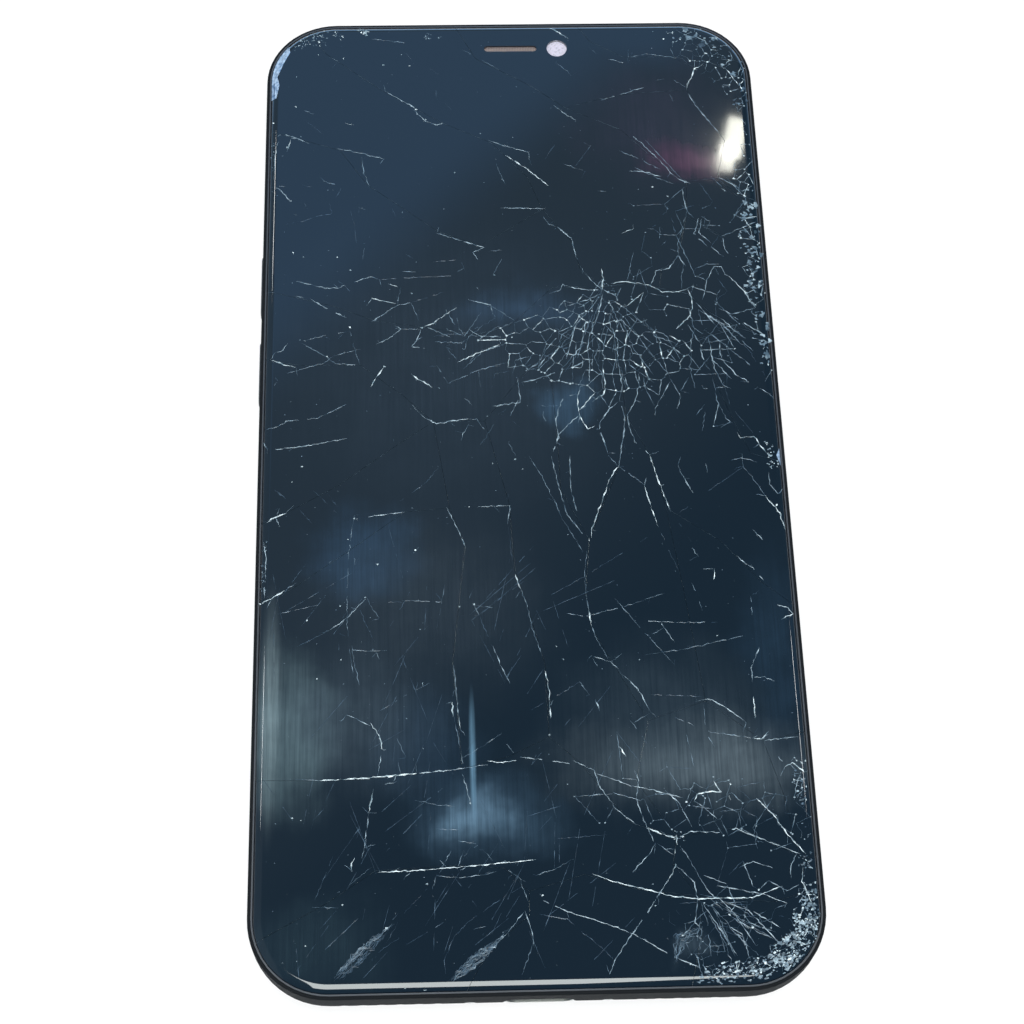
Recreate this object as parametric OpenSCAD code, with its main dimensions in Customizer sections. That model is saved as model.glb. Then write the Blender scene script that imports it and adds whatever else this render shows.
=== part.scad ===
// A phone with a shattered screen, lying on its back. +Z is up, +Y points to the earpiece end and +X to
// the side with the power button. The origin is the middle of the back's flat face. Millimetres.

/* [Body] */
// Width across the frame, without the buttons
body_w = 71.5; // [66:0.5:90]
// Length of the frame
body_l = 145.5; // [120:0.5:180]
// Thickness from the back's face to the top of the glass
body_t = 8.1; // [7.9:0.1:11]
// Radius of the corners, seen from the front
corner_r = 10.2; // [8:0.2:13]
// Radius of the round along the back's edges
edge_r = 4.6; // [3.5:0.1:5.5]
// Radius of the frame's edge beside the glass
lip_r = 0.3; // [0.1:0.05:0.35]
// Thickness of the frame's side walls
wall = 2.05; // [1.7:0.05:2.6]
// Thickness of the plate across the middle of the frame
midplate_t = 0.65; // [0.4:0.05:1]

/* [Cover glass] */
// Thickness of the cover glass
glass_t = 0.75; // [0.6:0.05:0.95]
// Height of the glass's top above the frame's edge
glass_proud = 0.55; // [0.4:0.05:0.6]
// Distance from the frame's side to the edge of the glass
glass_inset = 0.7; // [0.6:0.05:1.1]
// Width of the curved edge of the glass
bevel_w = 1.1; // [0.8:0.1:2]
// Height that the curved edge drops
bevel_drop = 0.55; // [0.3:0.05:0.55]
// Width of the gap along each open crack
crack_gap = 0.06; // [0.04:0.01:0.12]
// Depth of the chips that broke off the edge
chip_depth = 0.45; // [0.2:0.05:0.5]

/* [Display] */
// Thickness of the clear adhesive under the glass
adhesive_t = 0.1; // [0.05:0.05:0.2]
// Thickness of the display panel
panel_t = 0.9; // [0.6:0.05:1.2]
// Thickness of the sheet behind the panel
backing_t = 0.25; // [0.1:0.05:0.4]
// Width of the bezel's lip between glass and frame
bezel_lip = 0.2; // [0.15:0.05:0.25]
// Width of the bezel's shelf under the edge of the glass
bezel_shelf = 2.1; // [1.6:0.1:3]
// Height of the bezel's lip above the frame's edge
bezel_proud = 0.05; // [0:0.05:0.1]
// Width of the notch at the top of the panel
notch_w = 30; // [28:1:40]
// Depth of the notch
notch_l = 5.5; // [5:0.5:8]

/* [Earpiece and front camera] */
// Length of the earpiece slot
slot_l = 7.8; // [6:0.2:10]
// Width of the earpiece slot
slot_w = 1.0; // [0.8:0.1:1.4]
// Place of the slot across the phone
slot_x = 0.2; // [-1:0.1:1]
// Distance from the phone's top to the row of slot, camera and sensor
sensor_row = 5; // [4.8:0.1:5.4]
// Diameter of the front camera's clear window
window_d = 3.0; // [2.4:0.1:3.6]
// Place of the front camera across the phone
camera_x = 7.1; // [6.6:0.1:8]
// Place of the light sensor across the phone
light_x = -8.5; // [-10:0.1:-7]

/* [Buttons] */
// Length of the power button
power_l = 11; // [8:0.5:14]
// Length of each volume button
volume_l = 10; // [8:0.5:11]
// Height of the buttons
button_h = 2.0; // [1.6:0.1:2.2]
// Height of the buttons above the frame's side
button_proud = 0.35; // [0.2:0.05:0.6]
// How far a button moves in
button_travel = 0.3; // [0.15:0.05:0.35]
// Distance between the middles of the volume buttons
volume_pitch = 14; // [13:0.5:18]

/* [Card tray] */
// Width of the card tray
tray_w = 13; // [12:0.5:15]
// Thickness of the card tray
tray_t = 1.0; // [0.95:0.05:1.1]
// Length of the card tray inside the frame
tray_l = 20; // [18:0.5:22]
// Length of the SIM card
card_l = 12.3; // [12:0.1:12.5]
// Width of the SIM card
card_w = 8.8; // [8.5:0.1:9]
// Thickness of the SIM card
card_t = 0.67; // [0.6:0.01:0.7]

/* [Boards and battery] */
// Thickness of the circuit boards
board_t = 0.7; // [0.5:0.1:0.9]
// Height of the bosses that the boards hang on
boss_h = 1.75; // [1.7:0.05:1.9]
// Length of the main board
main_board_l = 32; // [31:0.5:38]
// Length of the lower board
sub_board_l = 26; // [25.5:0.5:30]
// Space between battery and side walls
battery_side = 4.7; // [4.5:0.1:7]
// Radius of the boards' screws
screw_r = 0.65; // [0.5:0.05:0.8]

/* [Rear camera] */
// Width of the window over the rear cameras
pill_w = 10; // [9.5:0.5:11]
// Length of the window over the rear cameras
pill_l = 23; // [21:0.5:25]
// Width of a rear camera module
module_w = 9; // [8:0.5:9.5]
// Diameter of the flash's lens
flash_d = 3.4; // [2.6:0.2:4]

/* [Charging port and speaker] */
// Width of the charging port's shell
port_w = 8.94; // [8.9:0.01:9]
// Height of the charging port's shell
port_h = 3.16; // [3.1:0.01:3.2]
// Depth of the charging port
port_l = 7.4; // [7:0.1:8]
// Wall of the charging port's shell
port_wall = 0.3; // [0.2:0.05:0.35]
// Diameter of each speaker hole
hole_d = 1.3; // [1:0.1:1.5]
// Holes in each row
hole_count = 6; // [4:1:7]
// Distance between the holes
hole_pitch = 2.3; // [2:0.1:2.5]
// Distance of the bottom screws from the middle
bottom_screw_x = 8.5; // [8:0.1:9]

/* [Back] */
// Thickness of the back cover
back_t = 0.8; // [0.6:0.1:0.9]
// Height of the back cover's rim
back_h = 1.5; // [1.2:0.1:1.5]
// Thickness of the tape that holds the back cover
tape_t = 0.1; // [0.05:0.05:0.15]
// Outer diameter of the charging coil
coil_d = 44; // [36:1:48]
// Inner diameter of the charging coil
coil_hole_d = 22; // [16:1:28]
// Thickness of the charging coil
coil_t = 0.3; // [0.2:0.05:0.4]
// Thickness of the graphite sheet
graphite_t = 0.1; // [0.05:0.05:0.15]

/* [Clearances] */
// Gap round each part that moves
clearance = 0.1; // [0.08:0.01:0.15]
// Gap between parts that are seated in each other
seat_gap = 0.05; // [0.02:0.01:0.1]

/* [Hidden] */
$fn = 48;

// Heights, from the top down
frame_top = body_t - glass_proud;
glass_z = body_t - glass_t;
adhesive_z = glass_z - adhesive_t;
panel_z = adhesive_z - panel_t;
pocket_z = panel_z - backing_t;
midplate_z = pocket_z - midplate_t;
board_top = midplate_z - boss_h;
board_z = board_top - board_t;
// Heights, from the back up
frame_z = back_h + tape_t;
coil_z = back_t + graphite_t;
battery_z = coil_z + coil_t;
strip_t = 0.15;
battery_top = midplate_z - strip_t;

// Outlines, each as half a width, half a length and a corner radius
body_x = body_w / 2;
body_y = body_l / 2;
glass_x = body_x - glass_inset;
glass_y = body_y - glass_inset;
bezel_inset = glass_inset - seat_gap - bezel_lip;
bezel_inner = bezel_inset + bezel_shelf;
pocket_inset = bezel_inset - seat_gap;
cavity_x = body_x - wall;
cavity_y = body_y - wall;
panel_inset = bezel_inner + clearance;
board_inset = wall + 1.1;

// The row of slot, front camera and light sensor
row_y = body_y - sensor_row;
bay_w = 24;
bay_y0 = row_y - 3.1;
bay_y1 = cavity_y - 0.5;
earpiece_y1 = bay_y1 - 0.35;
front_camera_y1 = bay_y1 - 0.25;

// Boards
main_y0 = cavity_y - 1.1 - main_board_l;
sub_y1 = 1.1 + sub_board_l - cavity_y;
camera_bay_x = 16.2 - cavity_x;
camera_bay_y = main_y0 + 5.4;
boss_r = 1.6;
boss_hole_r = screw_r + seat_gap;
head_r = 1.3;
head_h = 0.6;
connector_h = 1.0;
flex_t = 0.15;
flex_z = board_top + connector_h;
connector_y = main_y0 + 3.1;
sub_connector_y = sub_y1 - 2.6;
lead_x = -12;
can_t = 0.2;
can_h = 1.3;
can_y0 = main_y0 + 6.5;
can_y1 = main_y0 + 25.5;
can_x1 = cavity_x - 8.7;
small_can_x0 = camera_bay_x + 2.5;
processor_w = 13;
processor_h = 0.9;

// Rear camera and flash
pill_x = 9.7 - cavity_x;
pill_y = camera_bay_y + 11;
module_pitch = 11;
pill_ledge = 0.3;
flash_y = main_y0 + 2.2;
barrel_d = 6.8;
barrel_z = back_t + 0.2;
barrel_h = 2.1;

// Card tray and its reader
tray_y = main_y0 + 9.5;
tray_x1 = body_x - 0.85;
tray_x0 = tray_x1 - tray_l;
tray_z = board_top + 0.25;
tray_face_h = 2.0;
tray_face_w = tray_w + 1;
tray_face_z = tray_z + tray_t / 2;
card_floor = tray_z + 0.22;
card_x = tray_x0 + 1.5;
card_y = tray_y - tray_w / 2 + 1.6;
eject_r = 0.45;
eject_y = tray_y + tray_w / 2 - 1.5;
reader_gap = 0.2;
reader_t = 0.2;

// Buttons and switches
button_z = midplate_z - button_h / 2 - 0.15;
power_y = tray_y - 23.5;
volume_up_y = main_y0 - 8.5;
volume_down_y = volume_up_y - volume_pitch;
flange_t = 0.5;
flange_extra = 1.2;
flange_x = cavity_x - seat_gap;
dome_x = flange_x - flange_t - button_travel - clearance;
dome_h = 0.8;
dome_r = 1.1;
bracket_t = 0.7;

// Bottom end
port_z = midplate_z - port_h / 2 - clearance - 0.02;
port_y0 = 0.35 - body_y;
port_bay_x = bottom_screw_x + boss_r + 0.4;
port_bay_y = port_y0 + port_l;
// The slot in the middle plate that lets the display's flex through
flex_slot_w = 15;
flex_slot_y0 = port_bay_y + 0.3;
flex_slot_y1 = flex_slot_y0 + 1.2;
display_connector_y = sub_y1 - 12;
tongue_w = 6.7;
tongue_t = 0.7;
hole_x0 = port_bay_x + 2;
speaker_x0 = port_bay_x + 0.6;
speaker_x1 = cavity_x - 3.2;
speaker_y1 = 18.2 - cavity_y;
speaker_y0 = 2.7 - cavity_y;
speaker_z = back_t + 0.5;
mesh_t = 0.3;
motor_x0 = 3.7 - cavity_x;
motor_w = 12;
motor_y0 = 4.7 - cavity_y;
motor_l = 13;
pin_r = 0.5;
pin_head_r = 0.8;
pin_l = 3.2;

// Boss centres on the main board and on the lower board
main_bosses = [
    [cavity_x - 4.7, main_y0 + 22.4],
    [9.5, connector_y],
    [-8.5, main_y0 + 24],
    [-9, main_y0 + 7.4],
];
sub_bosses = [
    [motor_x0 + motor_w + 4.5, sub_y1 - 16.5],
    [motor_x0 + motor_w + 4.5, sub_y1 - 3.4],
    [cavity_x - 7.7, sub_y1 - 3.4],
];
// Connectors, as x, y, width and length
connectors = [
    [0, connector_y, 8, 2.4],
    [lead_x, connector_y, 5, 2.4],
    [0, sub_connector_y, 8, 2.4],
    [0, display_connector_y, 14, 2.4],
];

// Antenna gaps, as the distance of each from the middle of the phone
gap_y = body_y - 14.75;
gap_w = 1.4;

// Open cracks. The points are set out on a glass of this size and move with the glass's edges.
crack_sheet = [70.1, 144.1];
first_hit = [12, 26.5];
second_hit = [25, 44];
low_hit = [17.7, -53.5];
petal_tip = [8.5, -12.5];
cracks = [
    // From the first hit: up to the top left, right, left and down the left side
    [first_hit, [9, 29.5], [8, 34], [4, 39.5], [2, 45], [-3, 51], [-10, 54.5], [-19, 60.5], [-27, 67],
        [-32, 74]],
    [first_hit, [16, 27], [20, 26.2], [24, 25.2], [27, 22], [31, 19.5], [37, 17]],
    [first_hit, [5, 26.5], [-1, 20.5], [-6, 19], [-14, 20.5], [-20, 21.5], [-26, 24], [-37, 27]],
    [first_hit, [8, 20], [4, 16], [0, 12], [-5, 5.5], [-12, 5.5], [-16, 9.5], [-22, 14.5], [-30, 14.5],
        [-37, 16]],
    [[4, 39.5], [-5, 33.5], [-11, 36], [-21, 44], [-25, 50], [-31, 52], [-37, 54]],
    // From the second hit: up to the top, right, and down to the first crack
    [second_hit, [20, 48.5], [16, 53], [8, 57], [3, 61], [-5, 66], [-9, 74]],
    [second_hit, [29.5, 44.5], [32, 41.5], [37, 40]],
    [second_hit, [24.6, 38], [23, 31.5], [20.5, 29], [20, 26.2]],
    [[24.6, 38], [29.5, 34.7], [37, 37]],
    // The top right corner
    [[37, 64], [31, 66], [27.5, 64], [26, 60], [28, 56], [31, 51], [29.5, 44.5]],
    [[26, 60], [18, 59.5], [13, 58.5], [8, 57]],
    [[27.5, 64], [24, 66], [17, 66], [12, 69], [9, 74]],
    // The long petals below the first hit
    [first_hit, [13, 19], [14, 12], [14.3, 6], [13, -1.7], [9.5, -10], petal_tip],
    [[4, 16], [4.5, 9], [4.8, 3], [5, -5], petal_tip],
    [[14, 12], [19, 15.5], [25, 18], [31, 19.5]],
    [[14.3, 6], [17.3, 0], [19, -8], [20.5, -19], [22.5, -35.5]],
    [[25, 18], [27, 11], [29, 5], [31, 0], [37, -2]],
    [[19, -8], [26, -13], [31, -19], [37, -24]],
    [petal_tip, [7.7, -20], [8.2, -25], [11, -30.5], [15, -38], [13, -46], low_hit],
    // The long curves down the middle and to the left side
    [[-5, 5.5], [-2, -7], [-1.5, -17], [0, -22], [2, -30], [2.2, -40], [-3, -42.5], [-9, -44],
        [-19, -45], [-27, -45.2], [-37, -45]],
    [[-9, -44], [-9.5, -35], [-10, -30], [-8, -13], [-10, -7.5], [-12, 5.5]],
    [[-37, -21], [-31, -19], [-24, -14], [-16, -8], [-10, -7.5]],
    [[-37, -10], [-32, -8], [-25, -4], [-17, 2], [-12, 5.5]],
    // The lower right and the bottom
    [[2.2, -40], [6, -43.5], [12, -51.5], low_hit],
    [[15, -38], [22.5, -35.5], [29.5, -41], [37, -39.5]],
    [[29.5, -41], [31.5, -48], [33, -56.5], [37, -56]],
    [low_hit, [24.5, -52.5], [30, -54.5], [33, -56.5]],
    [low_hit, [17, -57], [20, -61], [20, -66], [18, -74]],
    [[20, -61], [29, -62], [37, -60]],
    [[20, -61], [12, -60], [6, -58], [-1, -60], [-1, -63], [-6, -67], [-10, -74]],
    [[-1, -60], [-4, -57], [-10, -56.5], [-20, -57], [-26, -61], [-37, -67]],
];
// Chips broken off the edge, as outlines on the same glass
chips = [
    [[36, 1.8], [34.6, 1.4], [33.6, 0.2], [33.2, -1], [33.9, -2.2], [36, -2.8]],
    [[-36, 66], [-34, 65], [-33.2, 62.5], [-33.9, 60], [-36, 59]],
    [[-30, 74], [-30.8, 69.2], [-32.6, 67.2], [-36, 66.4]],
];

module rounded_rect(w, l, r) {
    square([w - 2 * r, l], center = true);
    square([w, l - 2 * r], center = true);
    for (sx = [-1, 1], sy = [-1, 1])
        translate([sx * (w / 2 - r), sy * (l / 2 - r)])
            circle(r = r);
}

// The phone's outline, moved in by an inset
module outline(inset) {
    rounded_rect(body_w - 2 * inset, body_l - 2 * inset, corner_r - inset);
}

// A plate with that outline
module plate(inset, z0, z1) {
    translate([0, 0, z0])
        linear_extrude(height = z1 - z0)
            outline(inset);
}

// A flat ring between two insets
module ring(outer, inner, z0, z1) {
    difference() {
        plate(outer, z0, z1);
        plate(inner, z0 - 1, z1 + 1);
    }
}

module stadium(l, w) {
    square([l - w, w], center = true);
    for (sx = [-1, 1])
        translate([sx * (l - w) / 2, 0])
            circle(d = w);
}

// A slab with an edge profile. The profile runs from the corner's centre at x = 0 out to x = r,
// and its y is the slab's z, from z0 to z1 at x = 0.
module swept_slab(w, l, r, z0, z1) {
    side_l = l - 2 * r;
    end_w = w - 2 * r;
    for (a = [0, 180])
        rotate([0, 0, a]) {
            if (side_l > 0)
                translate([end_w / 2, 0, 0])
                    rotate([90, 0, 0])
                        linear_extrude(height = side_l, center = true)
                            children();
            if (end_w > 0)
                rotate([0, 0, 90])
                    translate([side_l / 2, 0, 0])
                        rotate([90, 0, 0])
                            linear_extrude(height = end_w, center = true)
                                children();
            for (c = [[end_w / 2, 0], [-end_w / 2, 90]])
                translate([c[0], side_l / 2, 0])
                    rotate([0, 0, c[1]])
                        rotate_extrude(angle = 90)
                            children();
        }
    if (side_l > 0 && end_w > 0)
        translate([-end_w / 2, -side_l / 2, z0])
            cube([end_w, side_l, z1 - z0]);
}

// Side profile of the whole body: a big round at the back and a small one beside the glass
module body_profile(z0, z1) {
    intersection() {
        union() {
            square([corner_r - edge_r, frame_top]);
            translate([corner_r - edge_r, edge_r])
                circle(r = edge_r);
            translate([0, edge_r])
                square([corner_r, frame_top - lip_r - edge_r]);
            translate([0, edge_r])
                square([corner_r - lip_r, frame_top - edge_r]);
            translate([corner_r - lip_r, frame_top - lip_r])
                circle(r = lip_r);
        }
        translate([0, z0])
            square([corner_r, z1 - z0]);
    }
}

module body_slab(z0, z1) {
    swept_slab(body_w, body_l, corner_r, z0, z1)
        body_profile(z0, z1);
}

// A block given by its corners
module block(x0, x1, y0, y1, z0, z1) {
    translate([x0, y0, z0])
        cube([x1 - x0, y1 - y0, z1 - z0]);
}

// A strip of flex: a polyline in the YZ plane, given a thickness and a width
module flex(x, w, points) {
    for (i = [0 : len(points) - 2]) {
        a = points[i];
        b = points[i + 1];
        block(
            x - w / 2, x + w / 2,
            min(a[0], b[0]), max(a[0], b[0]) + flex_t,
            min(a[1], b[1]), max(a[1], b[1]) + flex_t
        );
    }
}

module along_x() {
    rotate([90, 0, 90])
        children();
}

// ---- Display ----

// Edge profile of the glass: a low upright edge, then an arc up to the flat top
module glass_profile(r) {
    arc_r = (bevel_w * bevel_w + bevel_drop * bevel_drop) / (2 * bevel_drop);
    translate([0, glass_z])
        square([r, glass_t - bevel_drop]);
    translate([0, glass_z])
        square([r - bevel_w, glass_t]);
    intersection() {
        translate([r - bevel_w, body_t - arc_r])
            circle(r = arc_r);
        translate([0, glass_z])
            square([r, glass_t]);
    }
}

// A point of a crack, moved with the edges of the glass
function on_glass(p) = [p[0] * 2 * glass_x / crack_sheet[0], p[1] * 2 * glass_y / crack_sheet[1]];

// Unit vector square to the line from a to b
function square_to(a, b) = [a[1] - b[1], b[0] - a[0]] / norm(b - a);

// A crack's points, with each end run on a little so that it meets the crack that it ends on
function run_on(a, b) = a + crack_gap / 5 * (a - b) / norm(a - b);
function long_crack(p) = [
    for (i = [0 : len(p) - 1])
        i == 0 ? run_on(p[0], p[1]) : i == len(p) - 1 ? run_on(p[i], p[i - 1]) : p[i]
];

// One edge of the open gap along a crack, mitred at each point
function gap_edge(p, side) = [
    for (i = [0 : len(p) - 1])
        let (
            last = len(p) - 1,
            before = square_to(p[max(i - 1, 0)], p[max(i, 1)]),
            after = square_to(p[min(i, last - 1)], p[min(i + 1, last)]),
            both = before + after
        )
        p[i] + side * crack_gap * both / (both * both)
];

module crack_cut(points) {
    line = long_crack([for (p = points) on_glass(p)]);
    back = gap_edge(line, -1);
    translate([0, 0, glass_z - 1])
        linear_extrude(height = glass_t + 2)
            polygon(concat(gap_edge(line, 1), [for (i = [len(back) - 1 : -1 : 0]) back[i]]));
}

module slot_hole(extra, z0, z1) {
    translate([slot_x, row_y, z0])
        linear_extrude(height = z1 - z0)
            stadium(slot_l + 2 * extra, slot_w + 2 * extra);
}

module cover_glass() {
    glass_r = corner_r - glass_inset;
    color([0.08, 0.11, 0.15])
        difference() {
            swept_slab(2 * glass_x, 2 * glass_y, glass_r, glass_z, body_t)
                glass_profile(glass_r);
            for (points = cracks)
                crack_cut(points);
            for (points = chips)
                translate([0, 0, body_t - chip_depth])
                    linear_extrude(height = 1)
                        polygon([for (p = points) on_glass(p)]);
            slot_hole(0, glass_z - 1, body_t + 1);
        }
}

module optical_adhesive() {
    color([0.8, 0.85, 0.85])
        difference() {
            plate(glass_inset + 0.25, adhesive_z, glass_z);
            slot_hole(0.3, adhesive_z - 1, glass_z + 1);
            translate([camera_x, row_y, adhesive_z - 1])
                cylinder(d = window_d + 0.4, h = adhesive_t + 2);
        }
}

module display_panel() {
    color([0.05, 0.05, 0.06])
        difference() {
            plate(panel_inset, panel_z, adhesive_z);
            block(-notch_w / 2, notch_w / 2, body_y - panel_inset - notch_l, body_y, panel_z - 1, body_t);
        }
}

module panel_backing() {
    side = body_x - panel_inset - 0.5;
    color([0.45, 0.4, 0.35])
        block(-side, side, flex_slot_y1 + 0.5, body_y - panel_inset - notch_l - 0.7, pocket_z, panel_z);
}

module display_bezel() {
    color([0.2, 0.2, 0.22])
        union() {
            ring(bezel_inset, bezel_inner, pocket_z, adhesive_z);
            ring(bezel_inset, bezel_inset + bezel_lip, adhesive_z, frame_top + bezel_proud);
        }
}

module display_flex() {
    drop_y = flex_slot_y0 + 0.5;
    color([0.75, 0.45, 0.15])
        flex(0, flex_slot_w - 1, [
            [drop_y - 4, panel_z - flex_t],
            [drop_y, panel_z - flex_t],
            [drop_y, flex_z],
            [display_connector_y + 1, flex_z],
        ]);
}

module earpiece_mesh() {
    flange = 0.8;
    color([0.7, 0.62, 0.6])
        union() {
            translate([slot_x, row_y, adhesive_z - 0.15])
                linear_extrude(height = 0.15)
                    stadium(slot_l + 2 * flange, slot_w + 2 * flange);
            slot_hole(-clearance, adhesive_z, body_t - 0.5);
        }
}

module earpiece_speaker() {
    color([0.25, 0.25, 0.27])
        block(slot_x - 5.6, slot_x + 5.2, row_y - 2.1, earpiece_y1, board_top, adhesive_z - 0.15);
}

module front_camera() {
    color([0.1, 0.1, 0.12])
        union() {
            block(camera_x - 1.6, camera_x + 4, row_y - 2.3, front_camera_y1, board_top, pocket_z + 0.1);
            translate([camera_x, row_y, pocket_z])
                cylinder(d = window_d - 0.2, h = adhesive_z - 0.25 - pocket_z);
        }
}

module camera_gasket() {
    color([0.85, 0.83, 0.88])
        translate([camera_x, row_y, adhesive_z - 0.25])
            difference() {
                cylinder(d = window_d + 0.2, h = 0.25);
                translate([0, 0, -1])
                    cylinder(d = window_d / 3, h = 3);
            }
}

module light_sensor() {
    color([0.3, 0.3, 0.32])
        block(light_x - 1.1, light_x + 1.1, row_y - 0.8, row_y + 0.8, board_top, adhesive_z);
}

// ---- Frame ----

// The frame's walls and middle plate before any hole is cut
module frame_shell() {
    difference() {
        body_slab(frame_z, frame_top);
        plate(wall, frame_z - 1, midplate_z);
        plate(pocket_inset, pocket_z, frame_top + 1);
    }
}

// The slabs that part the frame's walls at the antenna gaps
module gap_slabs() {
    for (sx = [-1, 1], sy = [-1, 1])
        translate([sx * (body_x - wall / 2 + 1), sy * gap_y, (frame_z + pocket_z) / 2])
            cube([wall + 2, gap_w, pocket_z - frame_z], center = true);
}

module boss(p) {
    translate([p[0], p[1], board_top])
        difference() {
            cylinder(r = boss_r, h = boss_h + midplate_t / 2);
            translate([0, 0, -1])
                cylinder(r = boss_hole_r, h = boss_h);
        }
}

// Hole through a side wall for a button's cap
module button_hole(sx, y, l) {
    translate([sx * (body_x - wall / 2), y, button_z])
        along_x()
            linear_extrude(height = wall + 4, center = true)
                stadium(l + 2 * clearance, button_h + 2 * clearance);
}

module pin_boss(sx) {
    block(sx * bottom_screw_x - boss_r, sx * bottom_screw_x + boss_r, -cavity_y - 0.5,
        pin_l - body_y + 0.8, port_z - boss_r, midplate_z + 0.1);
}

module pin_hole(sx) {
    translate([sx * bottom_screw_x, -body_y, port_z])
        rotate([-90, 0, 0]) {
            translate([0, 0, -1])
                cylinder(r = pin_head_r + seat_gap, h = 2);
            cylinder(r = pin_r + seat_gap, h = pin_l + 0.2);
        }
}

module hole_row(sx) {
    for (i = [0 : hole_count - 1])
        translate([sx * (hole_x0 + i * hole_pitch), -cavity_y, port_z])
            rotate([90, 0, 0])
                cylinder(d = hole_d, h = 3 * wall, center = true);
}

module frame() {
    color([0.16, 0.16, 0.18])
        difference() {
            union() {
                frame_shell();
                for (p = concat(main_bosses, sub_bosses))
                    boss(p);
                for (sx = [-1, 1])
                    pin_boss(sx);
            }
            gap_slabs();
            // Openings in the middle plate
            block(-bay_w / 2, bay_w / 2, bay_y0, bay_y1, midplate_z - 1, pocket_z + 1);
            block(-flex_slot_w / 2, flex_slot_w / 2, flex_slot_y0, flex_slot_y1, midplate_z - 1,
                pocket_z + 1);
            // Buttons and card tray
            button_hole(1, power_y, power_l);
            button_hole(-1, volume_up_y, volume_l);
            button_hole(-1, volume_down_y, volume_l);
            block(cavity_x - 1, body_x, tray_y - tray_w / 2 - clearance, tray_y + tray_w / 2 + clearance,
                tray_z - clearance, tray_z + tray_t + clearance);
            translate([tray_x1, tray_y, tray_face_z])
                along_x()
                    linear_extrude(height = 3)
                        stadium(tray_face_w + 2 * clearance, tray_face_h + 2 * clearance);
            // Bottom end
            translate([0, -body_y, port_z])
                rotate([90, 0, 0])
                    linear_extrude(height = 3 * wall, center = true)
                        stadium(port_w + 2 * clearance, port_h + 2 * clearance);
            for (sx = [-1, 1]) {
                pin_hole(sx);
                hole_row(sx);
            }
        }
}

module antenna_gaps() {
    color([0.1, 0.1, 0.11])
        intersection() {
            frame_shell();
            gap_slabs();
        }
}

// A side button: a rounded cap through the wall and a flange inside it
module side_button(sx, y, l) {
    round_r = 0.25;
    cap_h = body_x + button_proud - flange_x;
    r = button_h / 2;
    translate([sx * flange_x, y, button_z])
        rotate([0, sx * 90, 0]) {
            swept_slab(button_h, l, r, 0, cap_h) {
                square([r, cap_h - round_r]);
                square([r - round_r, cap_h]);
                translate([r - round_r, cap_h - round_r])
                    circle(r = round_r);
            }
            translate([0, 0, -flange_t / 2])
                cube([button_h, l + flange_extra, flange_t], center = true);
        }
}

module power_button() {
    color([0.14, 0.14, 0.16])
        side_button(1, power_y, power_l);
}

module volume_up_button() {
    color([0.14, 0.14, 0.16])
        side_button(-1, volume_up_y, volume_l);
}

module volume_down_button() {
    color([0.14, 0.14, 0.16])
        side_button(-1, volume_down_y, volume_l);
}

// A switch dome on a bracket that hangs from the middle plate
module side_switch(sx, y, l) {
    bracket_x = dome_x - dome_h;
    union() {
        translate([sx * (bracket_x - bracket_t / 2), y, (board_z + midplate_z) / 2])
            cube([bracket_t, l, midplate_z - board_z], center = true);
        translate([sx * (dome_x - dome_h / 2), y, button_z])
            rotate([0, 90, 0])
                cylinder(r = dome_r, h = dome_h, center = true);
    }
}

module power_switch() {
    color([0.6, 0.45, 0.2])
        side_switch(1, power_y, power_l);
}

module volume_switches() {
    color([0.6, 0.45, 0.2])
        for (y = [volume_up_y, volume_down_y])
            side_switch(-1, y, volume_l);
}

// ---- Card tray ----

module sim_tray() {
    color([0.15, 0.15, 0.17])
        difference() {
            union() {
                block(tray_x0, tray_x1 + 0.1, tray_y - tray_w / 2, tray_y + tray_w / 2, tray_z,
                    tray_z + tray_t);
                intersection() {
                    body_slab(frame_z, frame_top);
                    translate([tray_x1, tray_y, tray_face_z])
                        along_x()
                            linear_extrude(height = 3)
                                stadium(tray_face_w, tray_face_h);
                }
            }
            block(card_x - seat_gap, card_x + card_l + seat_gap, card_y - seat_gap,
                card_y + card_w + seat_gap, card_floor, tray_z + tray_t + 1);
            translate([tray_x1 - 1, eject_y, tray_face_z])
                rotate([0, 90, 0])
                    cylinder(r = eject_r, h = 3);
        }
}

module sim_card() {
    color([0.85, 0.85, 0.82])
        block(card_x, card_x + card_l, card_y, card_y + card_w, card_floor, card_floor + card_t);
}

module sim_reader() {
    inner_y = tray_w / 2 + reader_gap;
    inner_top = tray_z + tray_t + clearance;
    x0 = tray_x0 - 1;
    x1 = cavity_x - 1;
    color([0.7, 0.7, 0.68])
        difference() {
            block(x0, x1, tray_y - inner_y - reader_t, tray_y + inner_y + reader_t, board_top,
                inner_top + reader_t);
            block(x0 + reader_t, x1 + 1, tray_y - inner_y, tray_y + inner_y, board_top - 1, inner_top);
        }
}

// ---- Boards ----

module board_holes(points) {
    for (p = points)
        translate(p)
            circle(r = screw_r + clearance);
}

module main_board() {
    color([0.08, 0.2, 0.15])
        translate([0, 0, board_z])
            linear_extrude(height = board_t)
                difference() {
                    intersection() {
                        outline(board_inset);
                        translate([-body_x, main_y0])
                            square([body_w, body_l]);
                    }
                    translate([-body_x, camera_bay_y])
                        square([body_x + camera_bay_x, body_l]);
                    board_holes(main_bosses);
                }
}

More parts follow.
